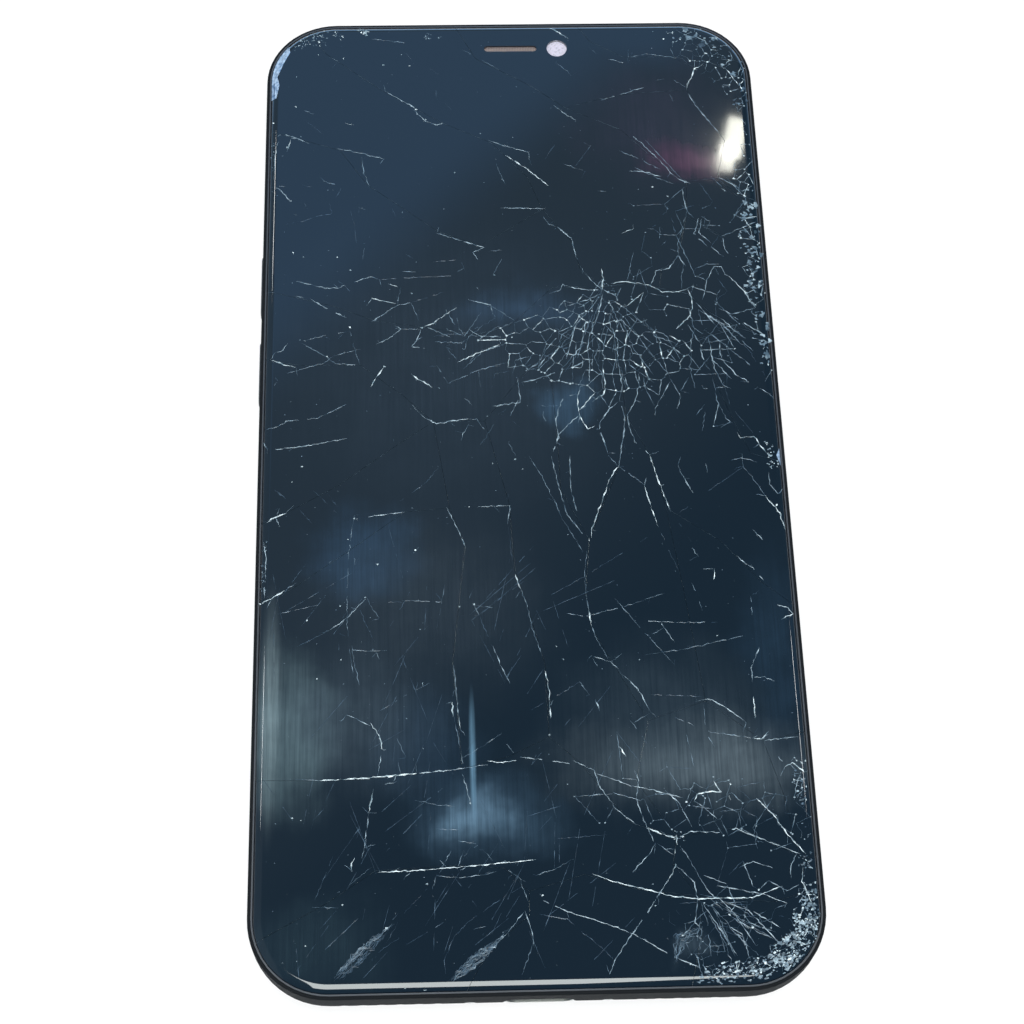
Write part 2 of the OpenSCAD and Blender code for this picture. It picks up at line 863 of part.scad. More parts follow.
module sub_board() {
    color([0.08, 0.2, 0.15])
        translate([0, 0, board_z])
            linear_extrude(height = board_t)
                difference() {
                    intersection() {
                        outline(board_inset);
                        translate([-body_x, sub_y1 - body_l])
                            square([body_w, body_l]);
                    }
                    translate([-port_bay_x, port_bay_y - 10])
                        square([2 * port_bay_x, 10]);
                    translate([speaker_x0 - 0.3, speaker_y1 + 0.3 - body_y])
                        square([body_x, body_y]);
                    translate([-body_x, motor_y0 + motor_l + 0.3 - body_y])
                        square([body_x + motor_x0 + motor_w + 0.3, body_y]);
                    board_holes(sub_bosses);
                }
}

// A shield can, open towards the board above it
module can(x0, x1, y0, y1) {
    difference() {
        block(x0, x1, y0, y1, board_z - can_h, board_z);
        block(x0 + can_t, x1 - can_t, y0 + can_t, y1 - can_t, board_z - can_h + can_t, board_z + 1);
    }
}

module board_shields() {
    color([0.72, 0.72, 0.7])
        union() {
            can(-1, can_x1, can_y0, can_y1);
            can(small_can_x0, -3, can_y0 + 3.3, can_y0 + 14);
        }
}

module processor() {
    color([0.12, 0.12, 0.13])
        translate([(can_x1 - 1) / 2, (can_y0 + can_y1) / 2, board_z - processor_h / 2])
            cube([processor_w, processor_w, processor_h], center = true);
}

module board_connectors() {
    color([0.2, 0.2, 0.2])
        for (c = connectors)
            translate([c[0], c[1], board_top + connector_h / 2])
                cube([c[2], c[3], connector_h], center = true);
}

module connector_cover() {
    color([0.75, 0.75, 0.73])
        block(lead_x - 3.6, 5.4, connector_y - 1.9, connector_y + 1.9, flex_z + flex_t,
            flex_z + 2 * flex_t);
}

module board_screws() {
    color([0.7, 0.7, 0.7])
        for (p = concat(main_bosses, sub_bosses))
            translate([p[0], p[1], board_z - head_h])
                union() {
                    cylinder(r = head_r, h = head_h);
                    cylinder(r = screw_r, h = head_h + board_t + boss_h - 1.1);
                }
}

module interconnect_flex() {
    under = midplate_z - flex_t;
    color([0.75, 0.45, 0.15])
        flex(0, 7, [
            [sub_connector_y - 1, flex_z],
            [sub_y1 + 0.8, flex_z],
            [sub_y1 + 0.8, under],
            [main_y0 - 0.8, under],
            [main_y0 - 0.8, flex_z],
            [connector_y + 1, flex_z],
        ]);
}

// ---- Rear camera ----

module camera_module(y) {
    color([0.12, 0.12, 0.14])
        translate([pill_x, y, 0])
            difference() {
                union() {
                    translate([-module_w / 2, -module_w / 2, barrel_z + barrel_h])
                        cube([module_w, module_w, midplate_z - barrel_z - barrel_h]);
                    translate([0, 0, barrel_z])
                        cylinder(d = barrel_d, h = barrel_h + 0.5);
                }
                translate([0, 0, barrel_z - 1])
                    cylinder(d1 = barrel_d, d2 = 2.4, h = 2.2);
            }
}

module rear_camera_main() {
    camera_module(pill_y + module_pitch / 2);
}

module rear_camera_wide() {
    camera_module(pill_y - module_pitch / 2);
}

module rear_camera_window() {
    color([0.1, 0.1, 0.12])
        translate([pill_x, pill_y, 0])
            linear_extrude(height = back_t - pill_ledge)
                rotate([0, 0, 90])
                    stadium(pill_l, pill_w);
}

module flash_led() {
    color([0.9, 0.85, 0.5])
        translate([pill_x, flash_y, board_z - 0.8])
            cube([3, 3, 1.6], center = true);
}

module flash_lens() {
    color([0.9, 0.9, 0.85])
        translate([pill_x, flash_y, 0])
            cylinder(d = flash_d, h = back_t - pill_ledge);
}

// ---- Power ----

module battery() {
    round_r = 0.8;
    y0 = sub_y1 + 2.2;
    y1 = main_y0 - 2.2;
    color([0.2, 0.2, 0.22])
        translate([0, (y0 + y1) / 2, battery_z])
            linear_extrude(height = battery_top - battery_z)
                rounded_rect(2 * (cavity_x - battery_side), y1 - y0, round_r);
}

module battery_strips() {
    color([0.9, 0.9, 0.9])
        for (sx = [-1, 1])
            block(sx * 13 - 4, sx * 13 + 4, sub_y1 + 5, main_y0 - 5, battery_top, midplate_z);
}

module battery_lead() {
    color([0.6, 0.4, 0.15])
        block(lead_x - 2, lead_x + 2, main_y0 - 2.2, connector_y + 1, flex_z, flex_z + flex_t);
}

module charging_coil() {
    color([0.72, 0.4, 0.2])
        translate([0, (sub_y1 + main_y0) / 2, coil_z])
            difference() {
                cylinder(d = coil_d, h = coil_t, $fn = 96);
                translate([0, 0, -1])
                    cylinder(d = coil_hole_d, h = 3, $fn = 96);
            }
}

module graphite_sheet() {
    margin = 4;
    side = coil_d / 2 + margin;
    middle = (sub_y1 + main_y0) / 2;
    color([0.18, 0.18, 0.18])
        block(-side, side, middle - side, middle + side, back_t, coil_z);
}

// ---- Bottom end ----

module charging_port() {
    color([0.75, 0.75, 0.76])
        translate([0, port_bay_y, port_z])
            rotate([90, 0, 0])
                difference() {
                    linear_extrude(height = port_l)
                        stadium(port_w, port_h);
                    translate([0, 0, 0.5])
                        linear_extrude(height = port_l)
                            stadium(port_w - 2 * port_wall, port_h - 2 * port_wall);
                }
}

module charging_tongue() {
    color([0.1, 0.1, 0.1])
        block(-tongue_w / 2, tongue_w / 2, port_y0 + 1, port_bay_y - 0.5, port_z - tongue_t / 2,
            port_z + tongue_t / 2);
}

module loudspeaker() {
    row_l = (hole_count - 1) * hole_pitch;
    nose_x1 = min(hole_x0 + row_l + hole_d, speaker_x1);
    color([0.2, 0.2, 0.21])
        union() {
            block(speaker_x0, speaker_x1, speaker_y0, speaker_y1, speaker_z, midplate_z);
            block(hole_x0 - hole_d, nose_x1, mesh_t - cavity_y, speaker_y0 + 0.1, port_z - hole_d,
                port_z + hole_d);
        }
}

module speaker_mesh() {
    row_l = (hole_count - 1) * hole_pitch;
    nose_x1 = min(hole_x0 + row_l + hole_d, speaker_x1);
    color([0.3, 0.3, 0.3])
        block(hole_x0 - hole_d, nose_x1, -cavity_y, mesh_t - cavity_y, port_z - hole_d,
            port_z + hole_d);
}

module bottom_microphone() {
    color([0.7, 0.65, 0.4])
        block(-hole_x0 - 1.7, -hole_x0 + 1.7, board_inset - body_y + 0.2, board_inset - body_y + 2.6,
            board_top, board_top + 1.1);
}

module vibration_motor() {
    color([0.65, 0.65, 0.66])
        translate([motor_x0 + motor_w / 2, motor_y0 + motor_l / 2, speaker_z])
            linear_extrude(height = midplate_z - speaker_z)
                rounded_rect(motor_w, motor_l, 1);
}

module bottom_screws() {
    color([0.6, 0.6, 0.6])
        for (sx = [-1, 1])
            translate([sx * bottom_screw_x, 0.25 - body_y, port_z])
                rotate([-90, 0, 0])
                    difference() {
                        union() {
                            cylinder(r = pin_head_r, h = 0.75);
                            cylinder(r = pin_r, h = pin_l - 0.3);
                        }
                        translate([0, 0, -0.5])
                            cylinder(r = pin_head_r / 2, h = 0.8, $fn = 6);
                    }
}

module upper_antenna() {
    color([0.75, 0.55, 0.25])
        block(-12, 16, cavity_y - 0.45, cavity_y, frame_z + 0.4, midplate_z);
}

// ---- Back ----

module back_adhesive() {
    color([0.15, 0.15, 0.15])
        ring(1.35, wall, back_h, frame_z);
}

// A stepped hole in the back: the wide part holds a window, the narrow part is what it rests on
module window_seat(y, l, w) {
    translate([pill_x, y, -1])
        linear_extrude(height = back_t - pill_ledge + 1)
            rotate([0, 0, 90])
                stadium(l + 2 * seat_gap, w + 2 * seat_gap);
    translate([pill_x, y, 0])
        linear_extrude(height = back_h)
            rotate([0, 0, 90])
                stadium(l - 1, w - 1);
}

module back_cover() {
    inner_r = corner_r - back_t;
    color([0.1, 0.1, 0.12])
        difference() {
            body_slab(0, back_h);
            swept_slab(body_w - 2 * back_t, body_l - 2 * back_t, inner_r, back_t, back_h + 1)
                intersection() {
                    union() {
                        square([corner_r - edge_r, edge_r]);
                        translate([corner_r - edge_r, edge_r])
                            circle(r = edge_r - back_t);
                    }
                    translate([0, back_t])
                        square([corner_r, back_h + 1 - back_t]);
                }
            window_seat(pill_y, pill_l, pill_w);
            translate([pill_x, flash_y, -1])
                cylinder(d = flash_d + 2 * seat_gap, h = back_t - pill_ledge + 1);
            translate([pill_x, flash_y, 0])
                cylinder(d = flash_d - 0.8, h = back_h);
        }
}

cover_glass();
optical_adhesive();
display_panel();
panel_backing();
display_bezel();
display_flex();
earpiece_mesh();
earpiece_speaker();
front_camera();
camera_gasket();
light_sensor();
frame();
antenna_gaps();
power_button();
volume_up_button();
volume_down_button();
power_switch();
volume_switches();
sim_tray();
sim_card();
sim_reader();
main_board();
board_shields();
processor();
board_connectors();
connector_cover();
board_screws();
interconnect_flex();
sub_board();
rear_camera_main();
rear_camera_wide();
rear_camera_window();
flash_led();
flash_lens();
battery();
battery_strips();
battery_lead();
charging_coil();
graphite_sheet();
charging_port();
charging_tongue();
loudspeaker();
speaker_mesh();
bottom_microphone();
vibration_motor();
bottom_screws();
upper_antenna();
back_adhesive();
back_cover();
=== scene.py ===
# %% [markdown]
# # A phone with a shattered screen
#
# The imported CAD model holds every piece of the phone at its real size. This lesson builds the looks round
# it: a sheet of glass broken into shards, the bright lines of its cracks, the crushed corners, the haze
# of use, and a finish for each piece. Everything is in metres for Blender, but the sizes below are
# written in millimetres, as a phone maker would write them, and one value turns them into metres.

import math
import random

import bpy
from mathutils import Matrix, Vector, noise
from mathutils.bvhtree import BVHTree
from mathutils.geometry import delaunay_2d_cdt


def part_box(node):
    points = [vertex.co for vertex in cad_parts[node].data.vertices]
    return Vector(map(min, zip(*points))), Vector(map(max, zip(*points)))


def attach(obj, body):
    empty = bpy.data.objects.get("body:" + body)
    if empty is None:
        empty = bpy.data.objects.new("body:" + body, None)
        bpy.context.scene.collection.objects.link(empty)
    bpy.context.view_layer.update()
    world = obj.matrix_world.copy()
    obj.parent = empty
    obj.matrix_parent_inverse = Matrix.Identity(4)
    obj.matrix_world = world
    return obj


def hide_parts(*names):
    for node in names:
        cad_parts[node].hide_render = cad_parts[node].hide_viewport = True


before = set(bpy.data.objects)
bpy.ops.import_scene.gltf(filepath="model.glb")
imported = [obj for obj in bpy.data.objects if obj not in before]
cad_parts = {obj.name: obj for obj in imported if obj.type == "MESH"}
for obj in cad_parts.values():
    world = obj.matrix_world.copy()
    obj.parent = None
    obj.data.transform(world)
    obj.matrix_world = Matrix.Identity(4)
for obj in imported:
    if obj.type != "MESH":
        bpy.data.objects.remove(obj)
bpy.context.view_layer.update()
MM = 0.001

# %% [markdown]
# ## The camera first
#
# A camera is placed by a matrix whose columns are its own axes: to the right, up, and back towards the
# viewer. It looks down on the screen from the phone's lower end, a little to the left, at about 65
# degrees.

# %% Camera
CAMERA_PLACE = Vector((-0.01083, -0.13032, 0.26903))
CAMERA_RIGHT = Vector((0.99937, -0.02790, 0.02206))
CAMERA_BACK = Vector((-0.03180, -0.42346, 0.90536))
CAMERA_UP = CAMERA_BACK.cross(CAMERA_RIGHT)

camera = bpy.data.objects.new("camera", bpy.data.cameras.new("camera"))
axes = Matrix((CAMERA_RIGHT, CAMERA_UP, CAMERA_BACK)).transposed()
camera.matrix_world = Matrix.Translation(CAMERA_PLACE) @ axes.to_4x4()
camera.data.lens = 75.83
camera.data.sensor_width = 36
bpy.context.collection.objects.link(camera)
bpy.context.scene.camera = camera
print("camera is", round(CAMERA_PLACE.length, 3), "m from the phone")

# %% [markdown]
# ## A few small helpers
#
# Colours are picked on a screen, so they are sRGB. Blender's shaders add up light, so they want linear
# numbers. A material is a graph of nodes. One helper gives a node's inputs their numbers or links, and
# one adds a node. A piece is a mesh made from points and faces, with one or more materials.


# %% Helpers
def linear(hex_colour):
    """An sRGB colour such as "20303c" as the linear colour that the shaders work in."""
    shares = [int(hex_colour[i:i + 2], 16) / 255 for i in (0, 2, 4)]
    return [s / 12.92 if s <= 0.04045 else ((s + 0.055) / 1.055) ** 2.4 for s in shares] + [1.0]


def connect(owner, node, links):
    """Gives each input that is named a number, or a link from another node's output."""
    for name, value in links.items():
        if isinstance(value, bpy.types.NodeSocket):
            owner.node_tree.links.new(value, node.inputs[name])
        else:
            node.inputs[name].default_value = value


def add(owner, kind, links={}, **settings):
    """Adds a node. Settings are the node's own switches, and links go to its inputs."""
    node = owner.node_tree.nodes.new("ShaderNode" + kind)
    for name, value in settings.items():
        setattr(node, name, value)
    connect(owner, node, links)
    return node


def new_material(name):
    """A new material and its shader."""
    material = bpy.data.materials.new(name)
    material.use_nodes = True
    return material, material.node_tree.nodes["Principled BSDF"]


def make_piece(name, points, faces, materials, face_materials=None, smooth_angle=None):
    """A mesh from points in millimetres, riding on the phone's body."""
    mesh = bpy.data.meshes.new(name)
    mesh.from_pydata([Vector(p) * MM for p in points], [], faces)
    for material in materials:
        mesh.materials.append(material)
    if face_materials:
        mesh.polygons.foreach_set("material_index", face_materials)
    if smooth_angle:
        mesh.polygons.foreach_set("use_smooth", [True] * len(mesh.polygons))
        mesh.set_sharp_from_angle(angle=math.radians(smooth_angle))
    piece = bpy.data.objects.new(name, mesh)
    bpy.context.collection.objects.link(piece)
    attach(piece, "phone")
    print(name, "has", len(points), "points and", len(faces), "faces")
    return piece


print("mid grey is", round(linear("808080")[0], 3), "in linear light")


# %% [markdown]
# ## A general finish for the phone's parts
#
# A real surface is never one flat colour. Moulding, blasting, plating and handling all leave a fine grain
# and a slow change of tone. This function gives both, from a grain size in millimetres, and a little
# relief to match. The special finishes further down start from it or replace it.


# %% The general finish
SLOW_CHANGE = 90.0         # per metre


def finish(name, tone, roughness, metallic=0.0, grain=0.3, spread=0.12, relief=0.1):
    """A material with a fine grain of that many millimetres, and a slow change of tone across the piece."""
    material, shader = new_material(name)
    place = add(material, "TexCoord").outputs["Object"]
    fine = add(material, "TexNoise", {"Vector": place, "Scale": 1 / (grain * MM), "Detail": 3.0})
    slow = add(material, "TexNoise", {"Vector": place, "Scale": SLOW_CHANGE, "Detail": 2.0})
    both = add(material, "Math", {0: fine.outputs["Fac"], 1: slow.outputs["Fac"]}, operation="ADD")
    dark, light = ([c * k for c in linear(tone)[:3]] + [1.0] for k in (1 - spread, 1 + spread))
    share = add(material, "MapRange", {0: both.outputs[0], 1: 0.6, 2: 1.4})
    shade = add(material, "Mix", {0: share.outputs[0], 6: dark, 7: light}, data_type="RGBA")
    rough = add(material, "MapRange", {0: fine.outputs["Fac"], 3: roughness * 0.85, 4: roughness * 1.15})
    bump = add(material, "Bump", {"Height": fine.outputs["Fac"], "Strength": relief, "Distance": 0.02 * MM})
    connect(material, shader, {"Base Color": shade.outputs[2], "Metallic": metallic,
                               "Roughness": rough.outputs[0], "Normal": bump.outputs[0]})
    return material


print("tone changes over about", round(1 / SLOW_CHANGE / MM), "mm")


# %% [markdown]
# ## The cover glass: its shape
#
# The cover is one sheet of strengthened glass with a rounded edge, called a 2.5D edge. The flat ends 1.1
# mm short of the rim, and from there the top falls away on a small arc. Two rules give its height
# anywhere: how far a point is from the outline, and how far the arc has dropped there. The sheet is cut
# along its long cracks, so that each shard is a closed solid of its own.

# %% Sizes of the glass
glass_low, glass_high = (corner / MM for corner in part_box("cover_glass"))
GLASS_X = glass_high.x
GLASS_Y = glass_high.y
GLASS_CORNER = 9.5
GLASS_FLOOR = glass_low.z
GLASS_TOP = glass_high.z - 0.04      # room for the shards' tilt and for splinters, under the CAD's own top
BEVEL_WIDTH = 1.1
BEVEL_DROP = 0.55
BEVEL_RADIUS = (BEVEL_WIDTH ** 2 + BEVEL_DROP ** 2) / (2 * BEVEL_DROP)
RIM_STEPS = (0, 0.06, 0.14, 0.24, 0.36, 0.48, 0.6, 0.72, 0.84, 0.94, 1.02, 1.1, 1.16)      # mm from the rim
CRACK_GAP = 0.05
CHIP_DEPTH = 0.42
THINNEST = 0.08                      # the least glass left under a chip
SHARD_SINK = 0.012                   # how far the shards lie under the unbroken top
SLOT_PLACE = Vector((0.2, 67.75))
SLOT_SIZE = Vector((7.8, 1.0))
WINDOW_PLACE = Vector((7.1, 67.75))
WINDOW_RADIUS = 1.5
print("glass", round(2 * GLASS_X, 2), "by", round(2 * GLASS_Y, 2), "mm")


def from_edge(x, y):
    """How far inside the glass's outline a point is."""
    across = abs(x) - (GLASS_X - GLASS_CORNER)
    along = abs(y) - (GLASS_Y - GLASS_CORNER)
    if across > 0 and along > 0:
        return GLASS_CORNER - math.hypot(across, along)
    return min(GLASS_X - abs(x), GLASS_Y - abs(y))


def glass_height(x, y):
    """The top of the unbroken glass at a point."""
    onto_bevel = min(max(BEVEL_WIDTH - from_edge(x, y), 0), BEVEL_WIDTH)
    return GLASS_TOP - BEVEL_RADIUS + math.sqrt(BEVEL_RADIUS ** 2 - onto_bevel ** 2)


def round_rectangle(half_x, half_y, corner, steps):
    """The points of a rectangle with round corners, going round once."""
    points = []
    for turn, (side_x, side_y) in enumerate(((1, 1), (-1, 1), (-1, -1), (1, -1))):
        for step in range(steps + 1):
            angle = math.radians(90 * (turn + step / steps))
            points.append(Vector((side_x * (half_x - corner) + corner * math.cos(angle),
                                  side_y * (half_y - corner) + corner * math.sin(angle))))
    return points


# %% [markdown]
# ## Where the long cracks run
#
# A dropped screen breaks from the point that hit the ground. Here there were three: one near the upper
# right, one above it and one low on the right. Cracks run out from each hit to the edge, or until they
# meet an older crack. These are the same lines that part the shards in the CAD model, in millimetres from
# the middle.

# %% Long cracks
FIRST_HIT = (12, 26.5)
SECOND_HIT = (25, 44)
LOW_HIT = (17.7, -53.5)
PETAL_TIP = (8.5, -12.5)
LONG_CRACKS = (
    (FIRST_HIT, (9, 29.5), (8, 34), (4, 39.5), (2, 45), (-3, 51), (-10, 54.5), (-19, 60.5), (-27, 67),
     (-32, 74)), (FIRST_HIT, (16, 27), (20, 26.2), (24, 25.2), (27, 22), (31, 19.5), (37, 17)),
    (FIRST_HIT, (5, 26.5), (-1, 20.5), (-6, 19), (-14, 20.5), (-20, 21.5), (-26, 24), (-37, 27)),
    (FIRST_HIT, (8, 20), (4, 16), (0, 12), (-5, 5.5), (-12, 5.5), (-16, 9.5), (-22, 14.5), (-30, 14.5),
     (-37, 16)), ((4, 39.5), (-5, 33.5), (-11, 36), (-21, 44), (-25, 50), (-31, 52), (-37, 54)),
    (SECOND_HIT, (20, 48.5), (16, 53), (8, 57), (3, 61), (-5, 66), (-9, 74)),
    (SECOND_HIT, (29.5, 44.5), (32, 41.5), (37, 40)),
    (SECOND_HIT, (24.6, 38), (23, 31.5), (20.5, 29), (20, 26.2)), ((24.6, 38), (29.5, 34.7), (37, 37)),
    ((37, 64), (31, 66), (27.5, 64), (26, 60), (28, 56), (31, 51), (29.5, 44.5)),
    ((26, 60), (18, 59.5), (13, 58.5), (8, 57)), ((27.5, 64), (24, 66), (17, 66), (12, 69), (9, 74)),
    (FIRST_HIT, (13, 19), (14, 12), (14.3, 6), (13, -1.7), (9.5, -10), PETAL_TIP),
    ((4, 16), (4.5, 9), (4.8, 3), (5, -5), PETAL_TIP), ((14, 12), (19, 15.5), (25, 18), (31, 19.5)),
    ((14.3, 6), (17.3, 0), (19, -8), (20.5, -19), (22.5, -35.5)),
    ((25, 18), (27, 11), (29, 5), (31, 0), (37, -2)), ((19, -8), (26, -13), (31, -19), (37, -24)),
    (PETAL_TIP, (7.7, -20), (8.2, -25), (11, -30.5), (15, -38), (13, -46), LOW_HIT),
    ((-5, 5.5), (-2, -7), (-1.5, -17), (0, -22), (2, -30), (2.2, -40), (-3, -42.5), (-9, -44), (-19, -45),
     (-27, -45.2), (-37, -45)), ((-9, -44), (-9.5, -35), (-10, -30), (-8, -13), (-10, -7.5), (-12, 5.5)),
    ((-37, -21), (-31, -19), (-24, -14), (-16, -8), (-10, -7.5)),
    ((-37, -10), (-32, -8), (-25, -4), (-17, 2), (-12, 5.5)),
    ((2.2, -40), (6, -43.5), (12, -51.5), LOW_HIT), ((15, -38), (22.5, -35.5), (29.5, -41), (37, -39.5)),
    ((29.5, -41), (31.5, -48), (33, -56.5), (37, -56)), (LOW_HIT, (24.5, -52.5), (30, -54.5), (33, -56.5)),
    (LOW_HIT, (17, -57), (20, -61), (20, -66), (18, -74)), ((20, -61), (29, -62), (37, -60)),
    ((20, -61), (12, -60), (6, -58), (-1, -60), (-1, -63), (-6, -67), (-10, -74)),
    ((-1, -60), (-4, -57), (-10, -56.5), (-20, -57), (-26, -61), (-37, -67)),
)
CHIPS = (
    ((36, 1.2), (35, 0.9), (34.5, -0.3), (34.9, -1.6), (36, -1.9)),
    ((-36, 59), (-34.3, 59.2), (-33.9, 61.5), (-34.2, 63), (-33.3, 65.5), (-32.4, 67.4), (-32.6, 68.6),
     (-36, 70)),
)
print(len(LONG_CRACKS), "long cracks and", len(CHIPS), "chips")

# %% [markdown]
# ## Chipped edges
#
# Where the rim hit the ground it lost flakes. A flake leaves a shell-shaped hollow, so the top is lowered
# inside each chip's outline, more the further in, and a few scattered points give the hollow its facets.


# %% Chips
def inside(x, y, outline):
    """Whether a point lies inside an outline, by counting the sides to its right."""
    found = False
    for (ax, ay), (bx, by) in zip(outline, outline[1:] + outline[:1]):
        if (ay > y) != (by > y) and x < ax + (y - ay) * (bx - ax) / (by - ay):
            found = not found
    return found


def from_outline(x, y, outline):
    """How far a point is from the nearest side of an outline."""
    point = Vector((x, y))
    nearest = 1e9
    for a, b in zip(outline, outline[1:] + outline[:1]):
        a, b = Vector(a), Vector(b)
        share = min(max((point - a).dot(b - a) / (b - a).length_squared, 0), 1)
        nearest = min(nearest, (point - a.lerp(b, share)).length)
    return nearest


def broken_height(x, y):
    """The top of the glass with its chips knocked out."""
    height = glass_height(x, y)
    for chip in CHIPS:
        if inside(x, y, chip):
            shell = 0.6 * from_outline(x, y, chip) * (1 + 0.8 * noise.noise(Vector((2 * x, 2 * y, 0))))
            height = max(height - min(shell, CHIP_DEPTH), GLASS_FLOOR + THINNEST)
    return height


print("chips are up to", CHIP_DEPTH, "mm deep")


# %% [markdown]
# ## Cutting the sheet into shards
#
# A constrained Delaunay triangulation fills a flat outline with triangles and keeps every line it is
# given as an edge. The rim, the start of the bevel, the holes, the chips and the cracks are all given to
# it. The triangles are then walked from neighbour to neighbour, and a crack can't be stepped over, so
# each walk collects one shard. Each shard gets a floor and walls, shrinks a hair from its cracks, and
# tips a very little, which breaks up the reflections as real shards do.


# %% Lay out the lines
FACET_TRIES = 160


def lay_out_glass():
    """All points and lines that the triangles have to keep, and which of the lines are cracks."""
    points, lines, crack_lines = [], [], set()

    def draw(path, closed, is_crack=False):
        first = len(points)
        points.extend(Vector(p) for p in path)
        for i in range(len(path) - (0 if closed else 1)):
            if is_crack:
                crack_lines.add(len(lines))
            lines.append((first + i, first + (i + 1) % len(path)))

    for inset in RIM_STEPS:
        draw(round_rectangle(GLASS_X - inset, GLASS_Y - inset, GLASS_CORNER - inset, 26), True)
    slot = round_rectangle(SLOT_SIZE.x / 2, SLOT_SIZE.y / 2, SLOT_SIZE.y / 2 - 0.001, 8)
    draw([SLOT_PLACE + p for p in slot], True)
    turns = [math.radians(10 * i) for i in range(36)]
    draw([WINDOW_PLACE + WINDOW_RADIUS * Vector((math.cos(a), math.sin(a))) for a in turns], True)
    for crack in LONG_CRACKS:
        draw(crack, False, True)
    chance = random.Random(11)
    for chip in CHIPS:
        draw(chip, True)
        for _ in range(FACET_TRIES):
            chance.random()          # two numbers are passed over; the facets' places rest on this
            chance.random()
            corner = Vector(chance.choice(chip))
            spot = corner + Vector((chance.uniform(-3, 3), chance.uniform(-3, 3)))
            if inside(spot.x, spot.y, chip) and from_edge(*spot) > 0.05:
                points.append(spot)
    return points, lines, crack_lines


def in_glass(x, y):
    """Whether a point is in the glass, and in neither of its two holes."""
    over = max(abs(x - SLOT_PLACE.x) - (SLOT_SIZE.x - SLOT_SIZE.y) / 2, 0)
    in_slot = math.hypot(over, y - SLOT_PLACE.y) < SLOT_SIZE.y / 2
    in_window = math.hypot(x - WINDOW_PLACE.x, y - WINDOW_PLACE.y) < WINDOW_RADIUS
    return from_edge(x, y) > 0 and not in_slot and not in_window


print("the middle of the slot is in the glass:", in_glass(*SLOT_PLACE))

# %% Triangles
glass_points, glass_lines, crack_numbers = lay_out_glass()
flat_points, flat_lines, triangles, _, made_from, _ = delaunay_2d_cdt(glass_points, glass_lines, [], 0, 1e-5)
crack_edges = {frozenset(e) for e, old in zip(flat_lines, made_from) if crack_numbers & set(old)}


def middle_of(corners):
    """The middle of some of the flat points."""
    return sum((flat_points[i] for i in corners), Vector((0, 0))) / len(corners)


kept = [triangle for triangle in triangles if in_glass(*middle_of(triangle))]
print(len(kept), "triangles and", len(crack_edges), "edges on cracks")


# %% Sort the triangles into shards
def shard_groups(faces, walls):
    """Groups of faces that can be reached from each other without crossing a wall."""
    beside = {}
    for number, face in enumerate(faces):
        for a, b in zip(face, face[1:] + face[:1]):
            beside.setdefault(frozenset((a, b)), []).append(number)
    group_of, groups = {}, []
    for start in range(len(faces)):
        if start in group_of:
            continue
        group, waiting = [], [start]
        group_of[start] = len(groups)
        while waiting:
            number = waiting.pop()
            group.append(number)
            face = faces[number]
            for a, b in zip(face, face[1:] + face[:1]):
                edge = frozenset((a, b))
                for other in beside[edge]:
                    if edge not in walls and other not in group_of:
                        group_of[other] = len(groups)
                        waiting.append(other)
        groups.append(group)
    return groups


apart = shard_groups([(0, 1, 2), (2, 1, 3)], {frozenset((1, 2))})
print("two triangles with a crack between them make", len(apart), "groups")


# %% One shard as a solid
GLOSS, SHELL, BROKEN = range(3)                # places in the cover's list of materials
SHARD_TILT = math.tan(math.radians(0.05))
MOST_LEAN = 0.02                               # mm


def shard_solid(faces, chance):
    """One shard: its points and faces, with walls and a floor, and a small tilt."""
    order = sorted({i for face in faces for i in face})
    number = {old: new for new, old in enumerate(order)}
    sides = {(a, b) for face in faces for a, b in zip(face, face[1:] + face[:1])}
    rim = sorted((a, b) for a, b in sides if (b, a) not in sides)
    shift = {old: Vector((0, 0)) for old in order}
    for a, b in rim:
        if frozenset((a, b)) in crack_edges:
            along = (flat_points[b] - flat_points[a]).normalized()
            for end in (a, b):
                shift[end] += Vector((-along.y, along.x))
    flat = {old: flat_points[old] + shift[old].normalized() * CRACK_GAP / 2 for old in order}
    centre = middle_of(order)
    tilt = Vector((chance.uniform(-1, 1), chance.uniform(-1, 1))) * SHARD_TILT
    top = []
    for old in order:
        lean = min(max((flat_points[old] - centre).dot(tilt), -MOST_LEAN), MOST_LEAN)
        top.append((*flat[old], broken_height(*flat_points[old]) - SHARD_SINK + lean * 0.5))
    floor = [(*flat[old], GLASS_FLOOR) for old in order]
    made = [tuple(number[i] for i in face) for face in faces]
    made += [tuple(number[i] + len(order) for i in reversed(face)) for face in faces]
    made += [(number[b], number[a], number[a] + len(order), number[b] + len(order)) for a, b in rim]
    kinds = [SHELL if any(inside(*middle_of(face), chip) for chip in CHIPS) else GLOSS for face in faces]
    kinds += [GLOSS] * len(faces)
    kinds += [BROKEN if frozenset(side) in crack_edges else GLOSS for side in rim]
    return top + floor, made, kinds


print("a shard leans by at most", MOST_LEAN * 0.5, "mm")

# %% All the shards
shard_chance = random.Random(5)
all_points, all_faces, all_kinds = [], [], []
groups = shard_groups(kept, crack_edges)
for group in groups:
    shard_points, shard_faces, shard_kinds = shard_solid([kept[n] for n in group], shard_chance)
    all_faces += [tuple(i + len(all_points) for i in face) for face in shard_faces]
    all_points += shard_points
    all_kinds += shard_kinds
print(len(groups), "shards")
